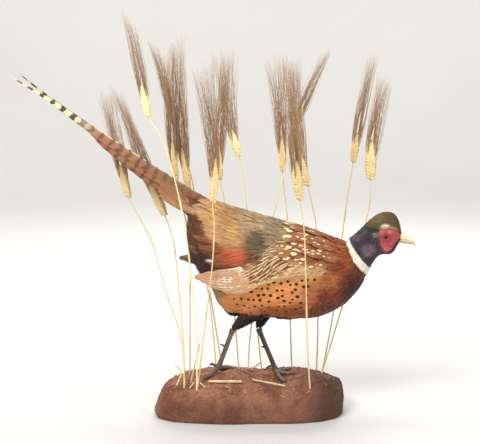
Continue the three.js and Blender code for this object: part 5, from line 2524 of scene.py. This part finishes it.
@dataclass
class Ground:
    """The lump of reddish earth, with crumbs and chaff on it.

    They are scattered in plan between low and high in metres, above the rim's height and where
    the ground's normal points up by more than steepest.
    """

    voxel: float = 2.4
    crumbs: int = 1500
    crumb_kinds: int = 4
    chaff: int = 260
    low: tuple[float, float] = (-0.175, -0.105)
    high: tuple[float, float] = (0.178, 0.105)
    rim: float = 0.04
    steepest: float = 0.35

    def build(self) -> None:
        """Makes the earth, its crumbs and the chaff."""
        bm = evened(node_bmesh("base"), self.voxel, 5)
        places, normals = faced(bm)
        free = ease(places[:, 2], 0.001, 0.008)
        lumps = ripple(places, 0.028, 3, 3.1) * 1.3 + ripple(places, 0.009, 3, 7.7) * 0.8
        pits = -np.maximum(0, ripple(places, 0.014, 2, 1.3) - 0.25) * 2.6
        places = places + normals * ((lumps + pits - 0.3) * free * MM)[:, None]
        places[:, 2] = np.maximum(places[:, 2], 0)
        move(bm.verts, places)
        material = self._material()
        piece = from_bmesh("earth", bm, material)
        register(piece, "earth", "base")
        tree = BVHTree.FromPolygons(
            [v.co for v in piece.data.vertices], [p.vertices for p in piece.data.polygons]
        )
        self._crumbs(tree, material)
        self._chaff(tree)

    def _scatter(
        self, tree: BVHTree, many: int, rng: np.random.Generator
    ) -> tuple[Array, Array, Array]:
        """Scatters places over the top of the ground.

        Args:
            tree: The ground.
            many: How many.
            rng: Random numbers.

        Returns:
            The places, the normals there and their corners on the bake map.
        """
        found = []
        while len(found) < many:
            above = Vector((*rng.uniform(self.low, self.high), 0.2))
            place, normal, _, _ = tree.ray_cast(above, Vector((0, 0, -1)))
            if place is not None and normal.z > self.steepest and place.z > self.rim:
                found.append((place, normal))
        places, normals = np.array(found).transpose(1, 0, 2)
        return places, normals, places[:, :2] / (0.38, 0.24) + 0.48

    def _crumbs(self, tree: BVHTree, material: bpy.types.Material) -> None:
        """Scatters loose crumbs of earth.

        Args:
            tree: The ground.
            material: Their finish.
        """
        rng = Draws.CRUMBS.rng()
        places, normals, corner = self._scatter(tree, self.crumbs, rng)
        size = np.exp(rng.normal(0.1, 0.45, self.crumbs)).clip(0.4, 2.8) * MM
        turn = rng.uniform(0, math.tau, self.crumbs)
        ahead = np.stack([np.cos(turn), np.sin(turn), rng.uniform(-0.3, 0.3, self.crumbs)], 1)
        start = places - ahead * size[:, None] + normals * size[:, None] * 0.25
        steps = np.linspace(0, 2, 3)[None, :, None]
        centre = start[:, None] + ahead[:, None] * size[:, None, None] * steps
        paths = Paths(centre, np.repeat(normals[:, None], 3, 1), size * 0.8)
        heap = Heap("crumbs")
        shape = GrainShape(rings=3, sides=6, plump=0.5, tip=0.35, flat=0.7)
        kind = rng.integers(0, self.crumb_kinds, self.crumbs)
        tint = np.repeat(rgb("a5705a")[None], self.crumbs, 0)
        mark, patch = np.ones(self.crumbs), (PLAIN_PATCH, PLAIN_PATCH)
        for variant in range(self.crumb_kinds):
            own = kind == variant
            heap.lay(shape.blank(rng), paths.some(own), tint[own], mark[own], corner[own], patch)
        register(heap.piece(material), "earth")

    def _chaff(self, tree: BVHTree) -> None:
        """Scatters short bits of straw.

        Args:
            tree: The ground.
        """
        rng = Draws.CHAFF.rng()
        places, normals, corner = self._scatter(tree, self.chaff, rng)
        length = rng.uniform(3, 13, self.chaff) * MM
        turn = rng.uniform(0, math.tau, self.chaff)
        ahead = np.stack([np.cos(turn), np.sin(turn), np.zeros(self.chaff)], 1)
        ahead = unit(ahead - normals * (ahead * normals).sum(1, keepdims=True))
        steps = np.linspace(-0.5, 0.5, 4)[None, :, None]
        along = ahead[:, None] * length[:, None, None] * steps
        half = rng.uniform(0.3, 0.9, self.chaff) * MM
        lifted = (places + normals * MM)[:, None]
        paths = Paths(lifted + along, np.repeat(normals[:, None], 4, 1), half)
        heap = Heap("chaff")
        tint = rgb("cdb07c")[None] * rng.uniform(0.6, 1.15, (self.chaff, 1))
        blank = GrainShape(rings=3, sides=5, plump=0.3, tip=0.4, flat=0.3).blank(rng)
        heap.lay(blank, paths, tint, np.ones(self.chaff), corner, (PLAIN_PATCH, PLAIN_PATCH))
        register(heap.piece(dry_straw("chaff_straw")), "straw")

    @staticmethod
    def _material() -> bpy.types.Material:
        """Mottled reddish earth, darker on its sides, with painted shade at its front end.

        Returns:
            The material.
        """
        sheet = Sheet("earth")
        here = sheet.places()
        x, _, z = sheet.parts(here)
        broad = sheet.noise(here, 22, 4)
        fine = sheet.noise(here, 190, 4, 0.65)
        specks = sheet.cells(here, 420)
        soil = sheet.mix(broad.rise(0.35, 0.65), paint("784633"), paint("a66f55"))
        soil = sheet.mix(fine.rise(0.42, 0.7) * 0.6, soil, paint("5f382a"))
        soil = sheet.mix(specks.fall(0.12, 0.3) * fine.rise(0.45, 0.6) * 0.7, soil, paint("e0b898"))
        # Painted shade: the front end of the earth is darkened.
        dark = (x + broad * 0.06).rise(0.12, 0.18) * 0.8
        soil = sheet.mix(dark, soil, paint("47301f"))
        side = (z + broad * 0.02).fall(0.03, 0.062) * 0.35
        soil = sheet.mix(side, soil, paint("4e3022"))
        return sheet.finish(
            Base_Color=soil,
            Roughness=0.92,
            Normal=sheet.bump(fine * 0.8 + specks * 0.4, 0.9, 1.2 * MM),
        )


# ---- Wheat and straw ----


def dry_straw(name: str) -> bpy.types.Material:
    """Dry plant stuff in each strand's own tint, with fine lengthwise streaks.

    Args:
        name: The material's name.

    Returns:
        The material.
    """
    sheet = Sheet(name)
    side, _ = sheet.map_parts("Vane")
    tint = sheet.attribute("tint", "Color")
    mark = sheet.attribute("mark")
    way = sheet.attribute("way")
    streak = sheet.noise(sheet.vector(side * 9, way * 60, mark * 20), 1.0, 3)
    cloud = sheet.noise(sheet.vector(way * 45, mark * 30), 1.0, 2)
    colour = sheet.mix(streak.rise(0.4, 0.75) * 0.22, tint, (0.4, 0.28, 0.14, 1), "MULTIPLY")
    colour = sheet.mix(cloud.rise(0.5, 0.8) * 0.22, colour, (0.42, 0.26, 0.12, 1))
    return sheet.finish(
        Base_Color=colour,
        Roughness=0.42 + streak * 0.2,
        Normal=sheet.bump(streak, 0.3, 0.2 * MM),
        Sheen_Weight=0.1,
    )


@dataclass(frozen=True)
class Stalk:
    """A stalk of bearded wheat. Sizes are in millimetres.

    foot is in plan, bends lead the stem up to the ear, and fan holds the outermost awn tips.
    """

    letter: str
    foot: tuple[float, float]
    bends: tuple[tuple[float, float, float], ...]
    ear: tuple[tuple[float, float, float], tuple[float, float, float]]
    width: float
    fan: tuple[tuple[float, float, float], tuple[float, float, float]]
    tint: str = "eed49a"
    awn_tint: str = "ab8864"
    stem: float = 1.55
    floret_step: float = 3.3
    floret_length: float = 12.0
    awn: float = 0.4
    awn_spread: float = 9.0
    awn_limit: float = 12.0

    def build(self, material: bpy.types.Material) -> None:
        """Makes the stalk.

        Args:
            material: Its finish.
        """
        rng = Draws.STALKS.rng(ord(self.letter))
        heap = Heap(f"stalk_{self.letter}")
        foot = (*self.foot, ground_height(*self.foot) - 4)
        base, tip = (np.array(p, float) for p in self.ear)
        into = base + (tip - base) * 0.9
        route = (foot, *self.bends, tuple(base), tuple(into))
        steps = np.linspace(0, 1, 29)
        spine = drawn(route, steps)
        up = np.repeat(np.array([[0, 1.0, 0]]), len(steps), 0)
        joints = tuple(rng.uniform((0.3, 0.58), (0.4, 0.68)))
        stem = StrandShape(rings=44, sides=8, tip=0.62, joints=joints).blank()
        tint = rgb(self.tint) * rng.uniform(0.94, 1.06)
        heap.lay(stem, Paths.one(spine, up, self.stem * MM), tint[None], rng.random(1),
            np.array([[MAP_MARGIN, MAP_MARGIN]]), (0.04, 0.97))
        self._ear(heap, rng, base * MM, tip * MM, tint)
        register(heap.piece(material), "straw", f"wheat_{self.letter}")

    def _ear(
        self, heap: Heap, rng: np.random.Generator, base: Array, tip: Array, tint: Array
    ) -> None:
        """Adds the florets round a core, and two awns on each but the lowest.

        Args:
            heap: The stalk's heap.
            rng: Random numbers.
            base: The ear's foot in metres.
            tip: The ear's top in metres.
            tint: The stalk's colour.
        """
        axis = unit(tip - base)
        turn = rng.uniform(-0.5, 0.5)
        wide = unit(np.cross(axis, [0, 1, 0]))
        deep = np.cross(axis, wide)
        cos, sin = math.cos(turn), math.sin(turn)
        wide, deep = wide * cos + deep * sin, deep * cos - wide * sin
        starts, directions, outs, sizes = self._florets(rng, base, tip, wide, deep)
        many = len(starts)
        length = (self.floret_length * MM * sizes.clip(0.75))[:, None, None]
        steps = np.linspace(0, 1, 5)[None, :, None]
        curl = -outs[:, None] * length * 0.2 * steps**2
        centre = starts[:, None] + directions[:, None] * length * steps + curl
        ups = np.repeat(outs[:, None], 5, 1)
        half = self.width / 15 * 3.5 * MM * sizes.clip(0.6)
        number = np.arange(many)
        corner = np.stack([0.06 + number % 12 * 0.077, 0.01 + number // 12 * 0.1], 1)
        colour = tint[None] * rng.uniform(0.92, 1.1, (many, 1))
        heap.lay(GrainShape().blank(rng), Paths(centre, ups, half), colour, rng.random(many),
            corner, (0.03, 0.07))
        core = np.linspace(base, tip + (tip - base) * 0.04, 6)
        core = Paths.one(core, np.repeat(deep[None], 6, 0), self.width * 0.46 * MM)
        heap.lay(GrainShape(rings=9, sides=10, plump=0.5, flat=1.0).blank(rng), core, tint[None],
            rng.random(1), np.array([[0.06, 0.93]]), (0.05, 0.06))
        bearded = np.repeat(number[number >= many * 0.3], 2)
        corner = corner[bearded] + np.array([0.034, 0])
        self._awns(heap, rng, centre[bearded, 3], directions[bearded], (wide, deep), corner)

    def _florets(
        self, rng: np.random.Generator, base: Array, tip: Array, wide: Array, deep: Array
    ) -> tuple[Array, ...]:
        """Places florets in rows of three, on either side in turn.

        Args:
            rng: Random numbers.
            base: The ear's foot in metres.
            tip: The ear's top in metres.
            wide: The way from side to side.
            deep: The way across that.

        Returns:
            Their starts, directions, ways out and sizes.
        """
        axis, half = unit(tip - base), self.width * MM / 2
        rows = max(14, round(float(np.linalg.norm(tip - base)) / (self.floret_step * MM)))
        found = []
        for row in range(rows):
            share = (row + 0.5) / rows
            side = 1 if row % 2 else -1
            girth = math.sin(math.pi * min(0.97, 0.16 + 0.74 * share)) ** 0.6
            for lean in (-1, 0, 1):
                out = unit(wide * side * (1 - 0.2 * abs(lean)) + deep * lean * 0.8)
                start = base + (tip - base) * share * 0.9 + out * half * 0.58 * girth
                ahead = unit(axis + out * (0.5 - 0.25 * share))
                found.append((start, ahead, out, rng.uniform(0.9, 1.1) * girth))
        return tuple(np.array(values) for values in zip(*found))

    def _awns(
        self,
        heap: Heap,
        rng: np.random.Generator,
        root: Array,
        directions: Array,
        across: tuple[Array, Array],
        corner: Array,
    ) -> None:
        """Adds an awn from each root, which bends towards its own place in the fan.

        Args:
            heap: The stalk's heap.
            rng: Random numbers.
            root: Where the awns start.
            directions: The ways in which they leave.
            across: The ways from side to side of the ear, and across that.
            corner: Their corners on the bake map.
        """
        wide, deep = across
        first, last = (np.array(p, float) * MM for p in self.fan)
        many = len(root)
        share = rng.permutation(many) / max(many - 1, 1)
        ends = first[None] + (last - first)[None] * share[:, None]
        reach = (ends - root) * rng.uniform(0.74, 1.0, (many, 1)) ** 0.7
        limit = self.awn_limit * MM
        aside = rng.normal(0, self.awn_spread * MM, (many, 1)).clip(-limit, limit)
        reach = reach + deep[None] * aside
        steps = np.linspace(0, 1, 9)[None, :, None]
        leave = directions[:, None] * np.linalg.norm(reach, axis=1)[:, None, None]
        path = root[:, None] + reach[:, None] * steps
        path = path + (leave - reach[:, None]) * (steps * (1 - steps) ** 2) * 0.5
        path = path + wide * rng.normal(0, 2.2 * MM, (many, 1, 1)) * np.sin(steps * math.pi)
        colour = rgb(self.awn_tint)[None] * rng.uniform(0.8, 1.25, (many, 1))
        ups = np.repeat(deep[None, None], many, 0).repeat(9, 1)
        heap.lay(StrandShape(rings=8, sides=3, tip=0.2).blank(),
            Paths(path, ups, np.full(many, self.awn * MM)), colour, rng.random(many),
            corner, (0.03, 0.07))


STALKS = (
    Stalk("a", (-118, -64), ((-126, -40, 146), (-156, -10, 230), (-186, 22, 326)),
        ((-229, 40, 404), (-246, 50, 468)), 16, ((-292, 58, 609), (-260, 54, 624))),
    Stalk("b", (-119, -75), ((-122, -50, 149), (-132, -16, 242), (-142, 16, 320)),
        ((-159, 34, 370), (-194, 43, 450)), 19, ((-269, 48, 628), (-237, 44, 601))),
    Stalk("c", (-95, -87), ((-96, -85, 168), (-112, -80, 333), (-132, -68, 440),
        (-158, -60, 524)), ((-182, -56, 563), (-194, -52, 621)), 15,
        ((-234, -60, 770), (-202, -44, 722)), "fbf0b4"),
    Stalk("d", (-114, 48), ((-113, 42, 204), (-113, 41, 300), (-122, 48, 370)),
        ((-139, 54, 433), (-146, 56, 515)), 13, ((-168, 54, 685), (-138, 58, 708))),
    Stalk("e", (-62, 66), ((-71, 74, 163), (-80, 77, 225), (-107, 74, 369)),
        ((-115, 71, 418), (-128, 70, 498)), 14, ((-154, 70, 705), (-122, 68, 721))),
    Stalk("f", (-94, -76), ((-78, -82, 196), (-66, -84, 293), (-62, -82, 368)),
        ((-65, -78, 406), (-59, -74, 492)), 15, ((-106, -70, 657), (-58, -78, 675))),
    Stalk("g", (-17, 66), ((-23, 82, 131), (-33, 94, 256), (-45, 96, 388)),
        ((-54, 96, 434), (-58, 96, 503)), 13, ((-52, 98, 686), (-30, 94, 670))),
    Stalk("h", (29, 88), ((21, 99, 125), (9, 102, 276), (-1, 98, 377), (-9, 90, 446)),
        ((-16, 86, 480), (-33, 84, 535)), 15, ((-77, 84, 694), (-19, 80, 697)), "fbf0b4"),
    Stalk("i", (1, 80), ((7, 89, 139), (29, 92, 266), (50, 92, 360), (70, 89, 445),
        (89, 89, 517)), ((95, 90, 538), (106, 90, 578)), 12,
        ((146, 92, 690), (167, 88, 695)), "fbf0b4"),
    Stalk("j", (89, 84), ((86, 97, 148), (79, 102, 356), (72, 102, 416)),
        ((70, 101, 448), (67, 100, 521)), 13, ((30, 102, 674), (78, 98, 688))),
    Stalk("k", (115, -88), ((109, -96, 150), (105, -98, 285), (101, -96, 369)),
        ((94, -92, 412), (85, -86, 488)), 18, ((53, -88, 682), (86, -78, 668))),
    Stalk("l", (138, 76), ((141, 92, 161), (136, 90, 337), (128, 85, 383)),
        ((119, 80, 423), (98, 77, 494)), 17, ((74, 78, 674), (103, 74, 682))),
    Stalk("m", (148, 68), ((171, 86, 172), (187, 86, 324), (201, 83, 433)),
        ((206, 81, 469), (213, 80, 529)), 14, ((233, 82, 682), (255, 78, 684))),
    Stalk("n", (146, 52), ((188, 76, 186), (232, 70, 355), (240, 66, 409)),
        ((239, 64, 437), (239, 62, 516)), 22, ((249, 64, 646), (281, 58, 634))),
    Stalk("o", (-50, 78), ((-63, 88, 137), (-82, 90, 258), (-105, 88, 412), (-117, 86, 467)),
        ((-136, 84, 525), (-151, 83, 580)), 10, ((-197, 84, 712), (-173, 82, 700))),
)


@dataclass(frozen=True)
class Straw:
    """A loose hollow straw on the ground. Sizes are in millimetres."""

    number: int
    route: tuple[tuple[float, float], ...]
    lifts: tuple[float, ...]
    radius: float

    def build(self, material: bpy.types.Material) -> None:
        """Makes the straw with an open pith at both ends.

        Args:
            material: Its finish.
        """
        points = []
        for (x, y), lift in zip(self.route, self.lifts):
            near = [(x, y), (x + 4, y), (x - 4, y), (x, y + 4), (x, y - 4)]
            high = max(ground_height(*place) for place in near)
            points.append((x, y, high + self.radius + 0.4 + lift))
        bm = bmesh.new()
        tube(bm, drawn(points, np.linspace(0, 1, 20)), self._radius, 24, 10)
        bm.normal_update()
        ends = [f for f in bm.faces if len(f.verts) > 4]
        bmesh.ops.inset_individual(bm, faces=ends, thickness=0.3 * self.radius * MM)
        for face in ends:
            inward = -face.normal.copy() * 3 * self.radius * MM
            bmesh.ops.translate(bm, verts=face.verts, vec=inward)
        piece = from_bmesh(f"loose_straw_{self.number}", bm, material)
        register(piece, "straw", f"straw_{self.number}")

    def _radius(self, share: Array, angle: Array) -> Array:
        """Radius of the straw, with one joint and a slightly crushed middle.

        Args:
            share: Shares of its length.
            angle: Angles around it.

        Returns:
            The radius there, in metres.
        """
        joint = 0.25 * hump((share, 0.68, 1 / 30))
        crushed = -0.12 * np.abs(np.cos(angle)) * np.sin(share * math.pi)
        return self.radius * (1 + joint + crushed) * MM


STRAWS = (
    Straw(1, ((-74, -75), (-11, -81)), (0, 0), 2.6),
    Straw(2, ((8, -68), (70, -80)), (0, 0), 1.8),
    Straw(3, ((6, 56), (25, 52)), (0, 18), 1.3),
    Straw(4, ((-134, -72), (-125, -60), (-139, -54)), (0, 24, 36), 1.5),
    Straw(5, ((-108, -60), (-90, -62)), (0, 74), 1.4),
    Straw(6, ((-89, -80), (-79, -89)), (6, 0), 1.2),
    Straw(7, ((-100, -81), (-109, -87)), (8, 0), 1.2),
)


def loose_straw() -> bpy.types.Material:
    """Pale glossy straw.

    Returns:
        The material.
    """
    sheet = Sheet("loose_straw")
    here = sheet.places()
    streak = sheet.noise(sheet.stretched(here, (40, 700, 700)), 1.0, 3)
    colour = sheet.mix(streak.rise(0.35, 0.75), paint("ecd9a4"), paint("b8975c"))
    return sheet.finish(
        Base_Color=colour, Roughness=0.4, Normal=sheet.bump(streak, 0.3, 0.2 * MM)
    )


# ---- Studio ----


@dataclass
class Studio:
    """A pale floor, soft lights and the camera. Lengths are in metres, angles in degrees."""

    aim: tuple[float, float, float] = (-0.015, 0.0, 0.364)
    distance: float = 2.2
    elevation: float = 7.0
    lens: float = 86.8

    def build(self) -> None:
        """Makes the floor, the lights and the camera."""
        self._floor()
        self._world()
        self._light("key", (-1.3, -2.2, 2.7), 1.5, 95)
        self._light("fill", (2.4, -1.6, 1.4), 2.2, 20)
        self._light("back", (0.4, 2.0, 2.4), 1.4, 34)
        self._light("wall", (0.0, 1.6, 4.2), 3.0, 150, (0.0, 5.4, 0.6))
        camera = bpy.data.cameras.new("camera")
        camera.lens, camera.sensor_width = self.lens, 36.0
        camera.clip_start, camera.clip_end = 0.05, 50.0
        holder = shown("camera", camera)
        lean = math.radians(self.elevation)
        x, y, z = self.aim
        holder.location = (
            x, y - self.distance * math.cos(lean), z + self.distance * math.sin(lean)
        )
        holder.rotation_euler = (math.pi / 2 - lean, 0, 0)
        bpy.context.scene.camera = holder
        view = bpy.context.scene.view_settings
        view.view_transform, view.look = "Standard", "None"

    @staticmethod
    def _floor() -> None:
        """A round floor that curves up into a wall beyond the farthest camera."""
        flat, bend = 3.8, 1.8
        bm = bmesh.new()
        profile = [(reach, 0.0) for reach in np.linspace(0, flat, 9)]
        profile += [
            (flat + bend * math.sin(a), bend * (1 - math.cos(a)))
            for a in np.linspace(0, math.pi / 2, 13)[1:]
        ]
        verts = [bm.verts.new((reach, 0, high)) for reach, high in profile]
        edges = [bm.edges.new(pair) for pair in zip(verts, verts[1:])]
        bmesh.ops.spin(bm, geom=[*verts, *edges], cent=(0, 0, 0), axis=(0, 0, 1),
            angle=math.tau, steps=72, use_merge=True)
        bmesh.ops.remove_doubles(bm, verts=bm.verts, dist=0.001)
        bmesh.ops.recalc_face_normals(bm, faces=bm.faces)
        if next(iter(bm.faces)).normal.z < 0:
            bmesh.ops.reverse_faces(bm, faces=bm.faces)
        sheet = Sheet("floor")
        tone = sheet.noise(sheet.places(), 1.5, 2)
        material = sheet.finish(
            Base_Color=sheet.mix(tone, paint("d6d3cd"), paint("dedbd6")), Roughness=0.8
        )
        from_bmesh("floor", bm, material)

    @staticmethod
    def _world() -> None:
        """Adds an even pale light from all round."""
        world = bpy.data.worlds.new("world")
        world.use_nodes = True
        background = world.node_tree.nodes["Background"]
        background.inputs["Color"].default_value = paint("e2e4e8")
        background.inputs["Strength"].default_value = 0.55
        bpy.context.scene.world = world

    def _light(
        self,
        name: str,
        place: tuple[float, float, float],
        size: float,
        power: float,
        target: tuple[float, float, float] | None = None,
    ) -> None:
        """Adds a large soft light.

        Args:
            name: Its name.
            place: Where it hangs.
            size: Its width.
            power: Its power in watts.
            target: Where it points, if not at the middle of the scene.
        """
        light = bpy.data.lights.new(name, "AREA")
        light.shape, light.size, light.energy = "DISK", size, power
        holder = shown(name, light)
        holder.location = place
        toward = Vector(target or self.aim) - Vector(place)
        holder.rotation_euler = toward.to_track_quat("-Z", "Y").to_euler()


FEET = (
    Foot("right", (-29, -32, 163), (-57, -33),
        (((-57, -33), (-36, -27), (-10, -24)), ((-57, -33), (-46, -17), (-30, -4)),
            ((-57, -33), (-66, -46), (-78, -56))),
        ((-60, -32, 91), (-68, -32, 96), (-73, -33, 93)),
        ((-42, -30, 130), (-48, -27, 131), (-54, -25, 134))),
    Foot("left", (21, 32, 150), (55, 32),
        (((55, 32), (72, 27), (90, 21)), ((55, 32), (64, 4), (72, -22)),
            ((55, 32), (66, 44), (80, 54))),
        ((51, 32, 74), (43, 34, 75), (37, 35, 70)),
        ((36, 31, 116), (31, 28, 115), (25, 26, 117))),
)


def main() -> None:
    """Builds the whole scene in order."""
    logging.basicConfig(level=logging.INFO, format="%(message)s", stream=sys.stdout, force=True)
    markings = Markings()
    skin = Skin(markings).build()
    hide = Hide(skin, markings)
    for number, coat in enumerate(COATS):
        coat.grow(hide, Draws.COATS.rng(number))
    Eyes().build()
    Bill().build()
    Wing("right", -1, SHOULDER + RIGHT_TIP).build()
    Wing("left", 1, SHOULDER + LEFT_TIP).build()
    Tail().build()
    for foot in FEET:
        foot.build()
    Ground().build()
    straw = dry_straw("wheat_straw")
    for stalk in STALKS:
        stalk.build(straw)
    pale = loose_straw()
    for item in STRAWS:
        item.build(pale)
    Studio().build()


if __name__ == "__main__":
    main()
